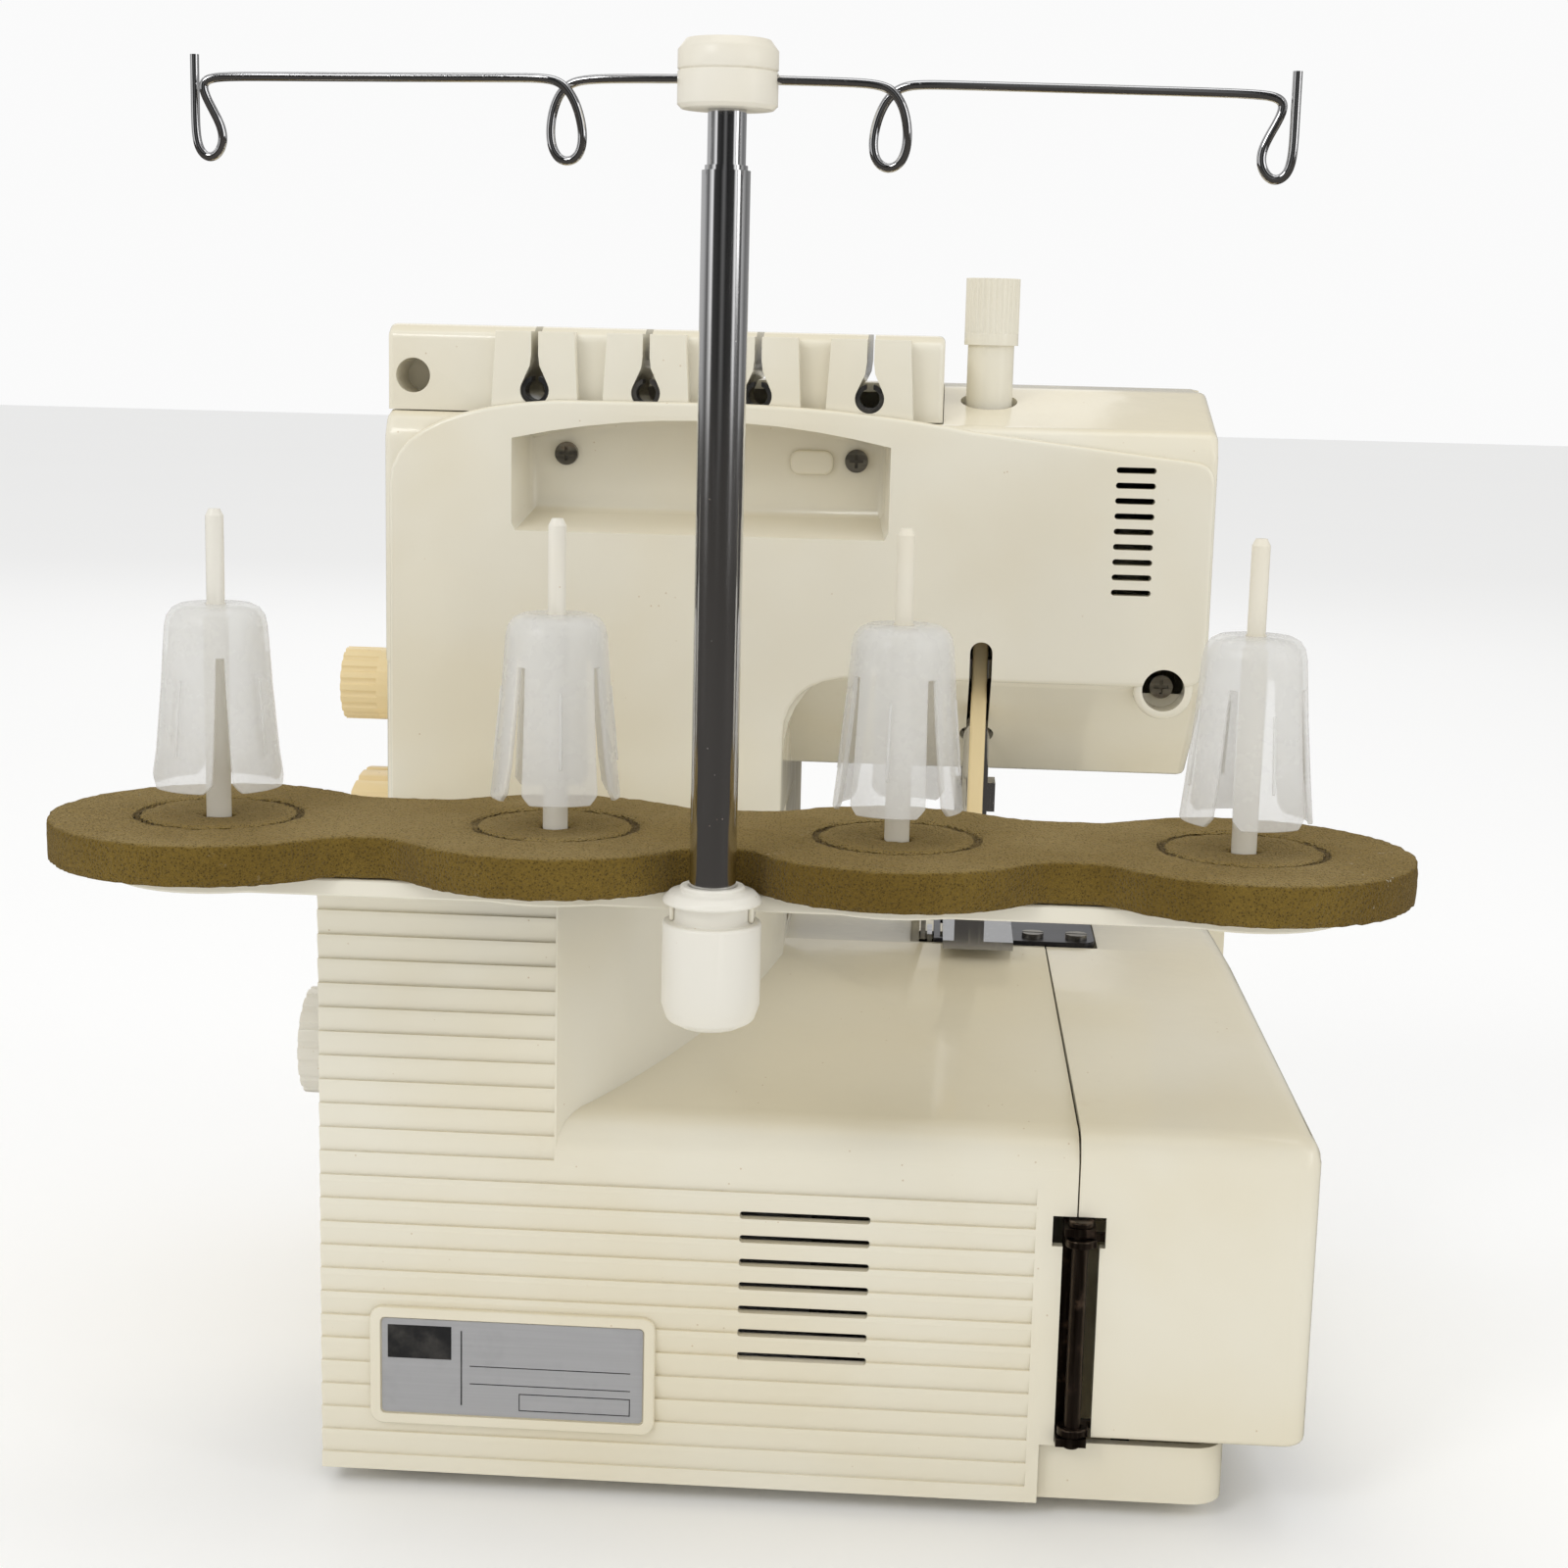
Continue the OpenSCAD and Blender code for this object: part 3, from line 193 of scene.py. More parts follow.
def brightPlating(name, look):
    r = Recipe(name)
    smear = r.grain(55, 4, r.stretch(1, 1, 0.3)).between(0.4, 0.72)
    scratch = r.grain(900, 3, r.stretch(1, 1, 0.03)).between(0.58, 0.72)
    pits = r.cells(420).between(0.07, 0.03) * r.grain(80, 2).between(0.54, 0.6)
    colour = r.blend(smear * 0.35, look["bright"], look["dull"])
    colour = r.blend(pits, colour, look["pitted"])
    rough = smear * 0.09 + scratch * 0.08 + pits * 0.4 + look["rough"]
    normal = r.bump(scratch, 0.000004, r.bump(pits, -0.00002))
    return r.surface({"Base Color": colour, "Metallic": 1 - pits * 0.6, "Roughness": rough, "Normal": normal})


def machinedSteel(name, look):
    r = Recipe(name)
    turned = r.grain(700, 3, r.stretch(*look.get("lay", (0.1, 1, 1))))
    rust = r.grain(150, 5, roughness=0.7).between(0.55, 0.72) * look["rust"]
    colour = r.blend(turned.between(0.3, 0.7), look["dark"], look["light"])
    colour = r.blend(rust, colour, look["rustColour"])
    rough = turned * 0.16 + rust * 0.3 + look["rough"]
    normal = r.bump(turned, 0.00001, r.bump(rust, 0.00003))
    return r.surface({"Base Color": colour, "Metallic": 1 - rust * 0.7, "Roughness": rough, "Normal": normal})


def castMetal(name, look):
    r = Recipe(name)
    pores = r.cells(900).between(0.1, 0.45)
    lumps = r.grain(240, 4)
    oily = r.grain(24, 3).between(0.45, 0.7)
    colour = r.blend(lumps, look["dark"], look["light"])
    colour = r.blend(oily * 0.4, colour, look["oil"])
    normal = r.bump(lumps * 0.7 + pores * 0.3, 0.00012)
    rough = 0.56 - oily * 0.2
    return r.surface({"Base Color": colour, "Metallic": 0.85, "Roughness": rough, "Normal": normal})


def darkRubber(name, look):
    r = Recipe(name)
    dusty = r.grain(70, 5, roughness=0.7).between(0.45, 0.75)
    colour = r.blend(dusty * look["dust"], look["base"], look["dusty"])
    rough = look["rough"] + dusty * 0.15
    normal = r.bump(r.grain(look["grain"], 3), look["depth"])
    return r.surface({"Base Color": colour, "Roughness": rough, "Normal": normal})


def openFoam(name):
    r = Recipe(name)
    pores = r.cells(1500)
    small = r.cells(3100)
    paintedPoreShade = pores.between(0.12, 0.5)
    patchy = r.grain(26, 4).between(0.35, 0.7)
    # painted light and shade: the top of the foam is coloured lighter and its sides darker, as if lit from above
    up = r.facing(2).between(0.5, 0.95)
    side = r.blend(patchy, (0.16, 0.10, 0.018), (0.215, 0.14, 0.028))
    top = r.blend(patchy, (0.27, 0.185, 0.055), (0.335, 0.24, 0.088))
    colour = r.blend(up, side, top)
    # painted shade: the pore hollows are coloured darker
    colour = r.blend((1 - paintedPoreShade.between(0.0, 0.75)) * 0.75, colour, (0.075, 0.046, 0.01))
    lint = r.grain(240, 5, roughness=0.75).between(0.64, 0.72) * r.grain(17, 2).between(0.5, 0.62)
    away = r.axis(0).size()
    edge = away.between(0.118, 0.15)
    pitch = pinPitch * 0.001
    beside = (away - pitch).size() - pitch / 2  # folds the four pins onto one
    along = r.axis(1) - pinRow * 0.001
    reach = (beside * beside + along * along) ** 0.5 - ringRadius * 0.001
    score = reach.size().between(0.0011, 0.0002) * up * r.grain(60, 2).between(0.25, 0.5)
    # painted shade: the groove of the pressed ring is coloured darker
    colour = r.blend(score * 0.75, colour, (0.08, 0.05, 0.014))
    colour = r.blend(lint * (0.2 + edge * 0.8), colour, (0.66, 0.6, 0.5))
    height = pores * 0.7 + small * 0.3
    normal = r.bump(height, 0.0009, r.bump(r.grain(160, 3), 0.0004, r.bump(score, -0.0012)))
    return r.surface({"Base Color": colour, "Roughness": 0.93, "Normal": normal, "Sheen Weight": 0.06,
                      "Sheen Roughness": 0.5, "Specular IOR Level": 0.1})


def milkyPlastic(name):
    r = Recipe(name)
    dust = r.grain(90, 4, roughness=0.65).between(0.45, 0.75)
    flow = r.grain(120, 3, r.stretch(1, 1, 0.25)).between(0.35, 0.7)
    colour = r.blend(dust * 0.4 + flow * 0.2, (0.88, 0.875, 0.85), (0.8, 0.78, 0.72))
    normal = r.bump(r.grain(1300, 3), 0.00002, r.bump(flow, 0.00005))
    return r.surface({"Base Color": colour, "Roughness": 0.26 + dust * 0.2, "Normal": normal,
                      "Alpha": 0.42 + dust * 0.06, "IOR": 1.46})


def lampGlass(name):
    r = Recipe(name)
    film = r.grain(120, 3).between(0.4, 0.8)
    colour = r.blend(film, (0.96, 0.96, 0.93), (0.7, 0.66, 0.58))
    return r.surface({"Base Color": colour, "Roughness": 0.06 + film * 0.2, "Transmission Weight": 0.85,
                      "Normal": r.bump(film, 0.00001)})


def plateFoil(name, look):
    r = Recipe(name)
    brushed = r.grain(1600, 3, r.stretch(0.02, 1, 1))
    worn = r.grain(120, 4).between(0.5, 0.75)
    colour = r.blend(brushed * 0.6 + worn * 0.3, look["light"], look["dark"])
    return r.surface({"Base Color": colour, "Metallic": look["metallic"], "Roughness": 0.36 + worn * 0.2,
                      "Normal": r.bump(brushed, 0.000004)})


ivory = {"fresh": (0.845, 0.805, 0.68), "aged": (0.775, 0.69, 0.49), "stained": (0.52, 0.37, 0.2),
         "rough": 0.12, "stain": 0.10, "cloud": 0.35, "lowYellow": 0.28, "topYellow": 0.6, "ripple": 0.00006}
cream = {"fresh": (0.82, 0.79, 0.705), "aged": (0.82, 0.73, 0.52), "stained": (0.5, 0.3, 0.13),
         "rough": 0.3, "stain": 0.35, "cloud": 0.4, "lowYellow": 0.0, "topYellow": 0.0, "ripple": 0.00003}
amber = {"fresh": (0.86, 0.70, 0.40), "aged": (0.78, 0.57, 0.26), "stained": (0.45, 0.27, 0.1),
         "rough": 0.32, "stain": 0.3, "cloud": 0.6, "lowYellow": 0.0, "topYellow": 0.0, "ripple": 0.00006}
black = {"base": (0.02, 0.02, 0.021), "dusty": (0.2, 0.18, 0.15), "dust": 0.3, "rough": 0.42,
         "grain": 2200, "depth": 0.00001}
rubber = {"base": (0.018, 0.018, 0.018), "dusty": (0.16, 0.15, 0.13), "dust": 0.5, "rough": 0.72,
          "grain": 1500, "depth": 0.00008}
violet = {**amber, "fresh": (0.42, 0.38, 0.62), "aged": (0.36, 0.32, 0.5)}
rose = {**amber, "fresh": (0.72, 0.33, 0.4), "aged": (0.6, 0.28, 0.32)}
blue = {**amber, "fresh": (0.24, 0.42, 0.7), "aged": (0.2, 0.36, 0.56)}
yellow = {**amber, "fresh": (0.82, 0.68, 0.2), "aged": (0.72, 0.56, 0.16)}
finishes = {
    "ivory_shell": mouldedPlastic("ivoryShell", ivory),
    "white_plastic": mouldedPlastic("creamPlastic", cream),
    "yellowed_plastic": mouldedPlastic("yellowedPlastic", amber),
    "dial_violet": mouldedPlastic("violetDial", violet),
    "dial_rose": mouldedPlastic("roseDial", rose),
    "dial_blue": mouldedPlastic("blueDial", blue),
    "dial_yellow": mouldedPlastic("yellowDial", yellow),
    "chrome": brightPlating("chromePlate", {"bright": (0.72, 0.72, 0.73), "dull": (0.55, 0.53, 0.5),
                                            "pitted": (0.2, 0.12, 0.07), "rough": 0.07}),
    "steel": machinedSteel("machinedSteel", {"dark": (0.38, 0.38, 0.39), "light": (0.6, 0.6, 0.61),
                                             "rustColour": (0.25, 0.13, 0.06), "rough": 0.24, "rust": 0.15}),
    "screw_steel": machinedSteel("screwSteel", {"dark": (0.22, 0.21, 0.19), "light": (0.42, 0.4, 0.36),
                                                "rustColour": (0.2, 0.12, 0.06), "rough": 0.3, "rust": 0.5}),
    "brown_steel": machinedSteel("brownedSteel", {"dark": (0.045, 0.032, 0.024), "light": (0.13, 0.1, 0.078),
                                                  "rustColour": (0.2, 0.11, 0.06), "rough": 0.3, "rust": 0.55,
                                                  "lay": (1, 1, 0.06)}),
    "dark_steel": machinedSteel("blackenedSteel", {"dark": (0.028, 0.028, 0.032),
                                                   "light": (0.075, 0.075, 0.085), "rough": 0.22,
                                                   "rustColour": (0.1, 0.07, 0.05), "rust": 0.12}),
    "bronze": machinedSteel("sinteredBronze", {"dark": (0.4, 0.25, 0.1), "light": (0.6, 0.42, 0.2),
                                               "rustColour": (0.2, 0.12, 0.05), "rough": 0.35, "rust": 0.3}),
    "casting": castMetal("castAlloy", {"dark": (0.36, 0.36, 0.37), "light": (0.52, 0.52, 0.53),
                                       "oil": (0.2, 0.18, 0.14)}),
    "rubber": darkRubber("blackRubber", rubber),
    "dark_plastic": darkRubber("blackPlastic", black),
    "plate_foil": plateFoil("plateFoil", {"light": (0.62, 0.62, 0.63), "dark": (0.48, 0.48, 0.49),
                                          "metallic": 0.35}),
    "foam": openFoam("openCellFoam"),
    "milky_plastic": milkyPlastic("milkyPlastic"),
    "lamp_glass": lampGlass("lampGlass"),
}
slotOf = {part["node"]: part["material_slot"] for part in frame["record"]["subparts"]}
for node, item in nodes.items():
    item.data.materials.clear()
    item.data.materials.append(finishes[slotOf[node]])
print("finishes made:", len(finishes))


# modelling helpers
def mm(x, y, z):
    return Vector((x, y, z)) * 0.001


def piece(name, bm, body, slot, stands=(), smoothTo=32, bevel=0.0, bevelSegments=2, bevelFrom=38):
    mesh = bpy.data.meshes.new(name)
    bm.to_mesh(mesh)
    bm.free()
    mesh.polygons.foreach_set("use_smooth", [True] * len(mesh.polygons))
    mesh.set_sharp_from_angle(angle=math.radians(smoothTo))
    item = bpy.data.objects.new(name, mesh)
    bpy.context.scene.collection.objects.link(item)
    mesh.materials.append(finishes[slot])
    if bevel:
        soft = item.modifiers.new("softEdges", "BEVEL")
        soft.width = bevel * 0.001
        soft.segments = bevelSegments
        soft.limit_method = "ANGLE"
        soft.angle_limit = math.radians(bevelFrom)
        soft.use_clamp_overlap = True
        soft.harden_normals = False
    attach(item, body)
    if stands:
        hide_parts(*stands)
    return item


def castCopy(node):  # a merged copy of a CAD node's mesh, with each flat face in one piece
    bm = bmesh.new()
    bm.from_mesh(nodes[node].data)
    bmesh.ops.remove_doubles(bm, verts=bm.verts, dist=0.000004)
    bmesh.ops.dissolve_limit(bm, angle_limit=math.radians(0.3), verts=bm.verts, edges=bm.edges)
    return bm


def sharpEdges(bm, least, pick=None):
    found = []
    for edge in bm.edges:
        if len(edge.link_faces) == 2 and edge.calc_face_angle(0) > math.radians(least):
            middle = (edge.verts[0].co + edge.verts[1].co) * 500
            along = (edge.verts[1].co - edge.verts[0].co).normalized()
            if pick is None or pick(middle, along):
                found.append(edge)
    return found


def roundOff(bm, edges, radius, segments=4):
    if edges:
        bmesh.ops.bevel(bm, geom=edges, offset=radius * 0.001, offset_type="OFFSET", segments=segments,
                        profile=0.5, affect="EDGES", clamp_overlap=True, material=-1, loop_slide=True)


def softened(node, name, bevel):
    return piece(name, castCopy(node), bodyOf[node], slotOf[node], [node], bevel=bevel)


# stage, lights and camera
def softLight(name, spot, aim, size, power):
    lamp = bpy.data.lights.new(name, "AREA")
    lamp.shape = "RECTANGLE"
    lamp.size, lamp.size_y = size
    lamp.energy = power
    item = bpy.data.objects.new(name, lamp)
    bpy.context.scene.collection.objects.link(item)
    item.location = spot
    item.rotation_mode = "QUATERNION"
    item.rotation_quaternion = (Vector(aim) - Vector(spot)).to_track_quat("-Z", "Y")


studio = {"floorWidth": 14.0, "floorColour": (0.985, 0.985, 0.98), "floorPaintedDarkInReflections": (0.07, 0.065, 0.06),
          "backdrop": (0.96, 0.96, 0.96), "even": (0.83, 0.83, 0.83),
          "panels": [(0.0, 0.6), (0.07, 0.2), (0.2, 0.35), (0.3, 0.55), (0.45, 0.5), (0.52, 0.1),
                     (0.585, 1.1), (0.61, 0.05), (0.7, 0.02), (0.74, 0.16), (0.78, 0.02), (0.87, 0.04),
                     (0.9, 1.3), (0.93, 0.12)],
          "softboxes": [("keySoftbox", (1.1, 1.5, 1.5), (0.6, 0.6), 6.5),
                        ("overheadSoftbox", (-0.1, 0.2, 1.9), (1.5, 0.7), 3.5),
                        ("sideSoftbox", (-1.6, 0.7, 0.8), (0.4, 1.0), 2.5),
                        ("frontSoftbox", (0.3, -1.8, 1.1), (1.2, 0.8), 2)]}
cameraAt = {"spot": (-0.0456, 0.6347, 0.2802), "yaw": -3.41, "pitch": 10.27, "roll": 1.39, "lens": 57.3}


def makeStudio(look):
    bm = bmesh.new()
    bmesh.ops.create_grid(bm, x_segments=1, y_segments=1, size=look["floorWidth"] / 2)
    mesh = bpy.data.meshes.new("floor")
    bm.to_mesh(mesh)
    bm.free()
    floor = bpy.data.objects.new("floor", mesh)
    bpy.context.scene.collection.objects.link(floor)
    r = Recipe("paleFloor")
    tone = r.blend(r.grain(2.5, 2) * 0.1, look["floorColour"], (0.9, 0.9, 0.89))
    # painted reflection: the floor is coloured dark where glossy surfaces reflect it
    tone = r.blend(r.ray("Is Glossy Ray"), tone, look["floorPaintedDarkInReflections"])
    mesh.materials.append(r.surface({"Base Color": tone, "Roughness": 0.6, "Specular IOR Level": 0.0}))
    sky = Recipe("studioSky", bpy.data.worlds, "ShaderNodeOutputWorld", "Generated")
    around = sky.add("ShaderNodeTexGradient", {"gradient_type": "RADIAL"}, {"Vector": sky.place}, "Fac")
    stops = [(spot, (tone, tone, tone)) for spot, tone in look["panels"]]
    panels = sky.add("ShaderNodeValToRGB", {"stops": stops}, {"Fac": around})
    light = sky.blend(sky.ray("Is Glossy Ray"), look["even"], panels)
    light = sky.blend(sky.ray("Is Camera Ray"), light, look["backdrop"])
    bpy.context.scene.world = sky.surface({"Color": light}, "ShaderNodeBackground")
    for name, spot, size, power in look["softboxes"]:
        softLight(name, spot, (0, 0, 0.15), size, power)
    bpy.context.scene.view_settings.view_transform = "Standard"


def makeCamera(look):
    yaw, pitch, roll = (math.radians(look[key]) for key in ("yaw", "pitch", "roll"))
    ahead = Vector((-math.sin(yaw) * math.cos(pitch), -math.cos(yaw) * math.cos(pitch), -math.sin(pitch)))
    level = ahead.cross(Vector((0, 0, 1))).normalized()
    below = ahead.cross(level)
    right = level * math.cos(roll) - below * math.sin(roll)
    up = -ahead.cross(right)
    data = bpy.data.cameras.new("camera")
    data.lens = look["lens"]
    data.sensor_width = 36
    data.clip_start = 0.01
    camera = bpy.data.objects.new("camera", data)
    bpy.context.scene.collection.objects.link(camera)
    turn = Matrix((right, up, -ahead)).transposed().to_4x4()
    camera.matrix_world = Matrix.Translation(look["spot"]) @ turn
    bpy.context.scene.camera = camera


makeCamera(cameraAt)
makeStudio(studio)
print("stage, lights and camera made")


def slab(bm, outline, axis, low, high):  # a flat outline pulled along x, y or z, in millimetres
    order = {"x": lambda u, v, w: mm(w, u, v),
             "y": lambda u, v, w: mm(u, w, v),
             "z": lambda u, v, w: mm(u, v, w)}[axis]
    face = bm.faces.new([bm.verts.new(order(u, v, low)) for u, v in outline])
    made = bmesh.ops.extrude_face_region(bm, geom=[face])["geom"]
    ends = [part for part in made if isinstance(part, bmesh.types.BMVert)]
    bmesh.ops.translate(bm, verts=ends, vec=order(0, 0, high - low))
    bmesh.ops.recalc_face_normals(bm, faces=bm.faces[:])


def block(bm, x, y, z):
    slab(bm, [(x[0], z[0]), (x[1], z[0]), (x[1], z[1]), (x[0], z[1])], "y", y[0], y[1])


def arcPoints(centre, radius, start, end, steps):
    turn = [math.radians(start + (end - start) * i / steps) for i in range(steps + 1)]
    return [(centre[0] + radius * math.cos(a), centre[1] + radius * math.sin(a)) for a in turn]


def bendPoints(start, corner, end, steps):  # a quadratic curve between two points
    found = []
    for i in range(steps + 1):
        t = i / steps
        first, middle, last = (1 - t) ** 2, 2 * t * (1 - t), t * t
        found.append(tuple(first * a + middle * b + last * c for a, b, c in zip(start, corner, end)))
    return found


def roundedBox(left, right, low, high, radius, steps=5):
    corners = [(right - radius, high - radius, 0), (left + radius, high - radius, 90),
               (left + radius, low + radius, 180), (right - radius, low + radius, 270)]
    return [point for u, v, a in corners for point in arcPoints((u, v), radius, a, a + 90, steps)]


def temporary(bm):
    mesh = bpy.data.meshes.new("tool")
    bmesh.ops.recalc_face_normals(bm, faces=bm.faces[:])
    bm.to_mesh(mesh)
    bm.free()
    item = bpy.data.objects.new("tool", mesh)
    bpy.context.scene.collection.objects.link(item)
    return item


def joined(base, tools):  # base and tools are bmeshes; tools are (operation, bmesh) pairs; gives a new bmesh
    item = temporary(base)
    helpers = [item]
    for operation, bm in tools:
        tool = temporary(bm)
        helpers.append(tool)
        step = item.modifiers.new(operation, "BOOLEAN")
        step.operation = operation
        step.solver = "EXACT"
        step.object = tool
    bpy.context.view_layer.update()
    mesh = bpy.data.meshes.new_from_object(item.evaluated_get(bpy.context.evaluated_depsgraph_get()))
    result = bmesh.new()
    result.from_mesh(mesh)
    bmesh.ops.remove_doubles(result, verts=result.verts, dist=0.00001)
    bmesh.ops.dissolve_limit(result, angle_limit=math.radians(0.2), verts=result.verts, edges=result.edges)
    for helper in helpers:
        bpy.data.objects.remove(helper)
    bpy.data.meshes.remove(mesh)
    return result


# head
(presserX, presserY), (_, needleY) = [[sum(pair) / 2 for pair in spans(node)[:2]]
                                      for node in ("pressure_knob", "needle_bar")]
columnX = spans("front_housing")[0][0] - 0.3
headShape = {"under": 104, "wall": 2.5, "proud": 1.5, "edge": 2.2, "panelEdge": 1.2, "seatDrop": 9,
             "gripFloor": 39, "gripHeight": 24, "gripCrown": 35, "gripWidth": 97, "gripDepth": 19,
             "vents": 9, "ventPitch": 3.85, "ventHeight": 1.5, "ventLeft": 15.5, "ventWidth": 10,
             "slotWidth": 5.7, "slotTop": 63.5, "wellDown": 74.5, "wellIn": 11, "wellRadius": 5.4}


def headRearShell(look):
    top, back, wall = headTop, headBack, look["wall"]
    under = top - look["under"]
    body = bmesh.new()
    slab(body, [(back - 44, under), (back, under + 30), (back, top - 15), (back - 3, top - 9.5),
                (back - 38, top), (splitY, top), (splitY, under)], "x", headEnd, sideX)
    rims = sharpEdges(body, 10, lambda m, a: m.y > splitY + 1)
    roundOff(body, rims, look["edge"], 4)
    column = bmesh.new()
    block(column, (columnX, sideX), (splitY, back), (headLow, under + 40))
    roundOff(column, sharpEdges(column, 60, lambda m, a: abs(a.z) > 0.9 and m.y > back - 1), 3.5, 5)
    fillet = bmesh.new()
    curve = bendPoints((columnX - 22, under + 34), (columnX, under + 30), (columnX, under + 8), 8)
    slab(fillet, [(columnX + 1, under + 40)] + curve + [(columnX + 1, under + 8)], "y", splitY + 1, back - 0.5)
    panel = bmesh.new()
    grown = look["proud"]
    outline = [(sideX - 1.6, headLow)]
    outline += bendPoints((sideX - 1.6, top - 27), (sideX - 2.4, top - 8), (sideX - 44, top - 5.2), 9)
    outline += bendPoints((presserX + 66, top - 4.9), (presserX + 32, top - 5.4), (presserX + 4, top - 10.4), 7)
    outline += bendPoints((headEnd + 6, top - 16.5), (headEnd + 0.8, top - 17), (headEnd + 0.7, top - 22), 5)
    outline += bendPoints((headEnd + 0.7, under + 36), (headEnd + 0.8, under + 30.4),
                          (headEnd + 7, under + 30.2), 5)
    outline += bendPoints((columnX - 20, under + 30.2), (columnX, under + 30), (columnX, under + 14), 7)
    outline += [(columnX, headLow)]
    slab(panel, outline, "y", back - 0.4, back + grown)
    roundOff(panel, sharpEdges(panel, 50, lambda m, a: m.y > back + grown - 0.1), look["panelEdge"], 4)
    boss = bmesh.new()
    wellX, wellZ = headEnd + look["wellIn"], top - look["wellDown"]
    slab(boss, arcPoints((wellX, wellZ), 7.6, 0, 350, 35), "y", back - 18, back + 0.9)
    roundOff(boss, sharpEdges(boss, 60, lambda m, a: m.y > back), 1.6, 4)
    inner = bmesh.new()
    slab(inner, [(back - 42.5, under + wall), (back - wall, under + 31.5), (back - wall, top - 16),
                 (back - 5, top - 12), (back - 39, top - wall), (splitY - 2, top - wall),
                 (splitY - 2, under + wall)], "x", headEnd + wall, sideX - wall)
    innerColumn = bmesh.new()
    block(innerColumn, (columnX + wall, sideX - wall), (splitY - 2, back - wall), (headLow - 2, under + 42))
    seat = bmesh.new()
    block(seat, (blockEnd - 0.2, sideX + 1), (splitY - 2, back - 0.4), (top - look["seatDrop"], crownZ))
    gripLeft = columnX - 26
    gripRight, floor = gripLeft + look["gripWidth"], top - look["gripFloor"]
    gripBack, gripSide = back - look["gripDepth"], floor + look["gripHeight"]
    crown = bendPoints((gripLeft, gripSide), ((gripLeft + gripRight) / 2, floor + look["gripCrown"]),
                       (gripRight, gripSide), 10)
    outer = [(gripLeft, floor + 2), (gripLeft + 1, floor), (gripRight - 1, floor), (gripRight, floor + 2)]
    outer += crown[::-1]
    room = bmesh.new()
    slab(room, outer, "y", gripBack, back + 4)
    sleeve = bmesh.new()
    slab(sleeve, [(gripLeft - wall, floor - wall), (gripRight + wall, floor - wall)] +
         [(u + (wall if u > gripLeft + 40 else -wall), v + wall) for u, v in crown[::-1]], "y",
         gripBack - wall, back - 1)
    middle = (gripLeft + gripRight) * 0.0005
    for bm, start, lift in ((room, back + 4, 0.005), (sleeve, back, 0.003)):  # both narrow and rise inwards
        for vert in bm.verts:
            if (start - vert.co.y * 1000) / (start - gripBack) > 0.5:
                vert.co.x = (vert.co.x - middle) * 0.955 + middle
                if vert.co.z * 1000 < floor + 4:
                    vert.co.z += lift
    roundOff(room, sharpEdges(room, 50, lambda m, a: m.y < gripBack + 1), 3.0, 4)
    cuts = bmesh.new()
    for i in range(look["vents"]):
        z = top - 49.8 + i * look["ventPitch"]
        left = headEnd + look["ventLeft"]
        half = look["ventHeight"] / 2
        vent = roundedBox(left, left + look["ventWidth"], z - half, z + half, half * 0.95, 3)
        slab(cuts, vent, "y", back - 9, back + 4)
    radius = look["slotWidth"] / 2
    slot = bmesh.new()
    slab(slot, [(presserX - radius, under - 9), (presserX + radius, under - 9)] +
         arcPoints((presserX, top - look["slotTop"] - radius), radius, 0, 180, 12), "y", back - 50, back + 4)
    holes = bmesh.new()
    slab(holes, arcPoints((wellX, wellZ), look["wellRadius"], 0, 350, 35), "y", back - 8, back + 4)
    knobWell = bmesh.new()
    slab(knobWell, arcPoints((presserX, presserY), 7.4, 0, 350, 35), "z", top - 30, top + 9)
    barWell = bmesh.new()
    slab(barWell, arcPoints((presserX, presserY), 4.5, 0, 345, 23), "z", under - 9, under + 40)
    needleWell = bmesh.new()
    slab(needleWell, arcPoints((presserX, needleY), 4.6, 0, 345, 23), "z", under - 9, under + 30)
    dialWell = bmesh.new()
    _, (dialNear, dialFar), (dialLow, dialHigh) = spans("stitch_length_dial")
    dialSpot = ((dialNear + dialFar) / 2, (dialLow + dialHigh) / 2)
    slab(dialWell, arcPoints(dialSpot, 3.4, 0, 345, 23), "x", sideX - 9, sideX + 1)
    steps = [("UNION", part) for part in (column, fillet, panel, boss)]
    steps += [("DIFFERENCE", inner), ("DIFFERENCE", innerColumn), ("UNION", sleeve)]
    wells = (knobWell, barWell, needleWell, dialWell)
    steps += [("DIFFERENCE", part) for part in (seat, room, cuts, slot, holes, *wells)]
    shell = joined(body, steps)
    button = bmesh.new()
    slab(button, roundedBox(-17.5, -6.2, top - 23.3, top - 17, 2.4), "y", gripBack - 0.8, gripBack + 2.0)
    roundOff(button, sharpEdges(button, 60, lambda m, a: m.y > gripBack), 0.9, 3)
    shell = joined(shell, [("UNION", button)])
    piece("headRearCover", shell, "machine", "ivory_shell", ["head_rear_cover"], 30, 0.5, 3, 40)


headRearShell(headShape)
print("head rear cover made")


# thread block
threadShape = {"pitch": 28.4, "first": 18.6, "slot": 7.4, "padHalf": 10, "neck": 0.9, "edge": 1.6,
               "wellRadius": 4.4}


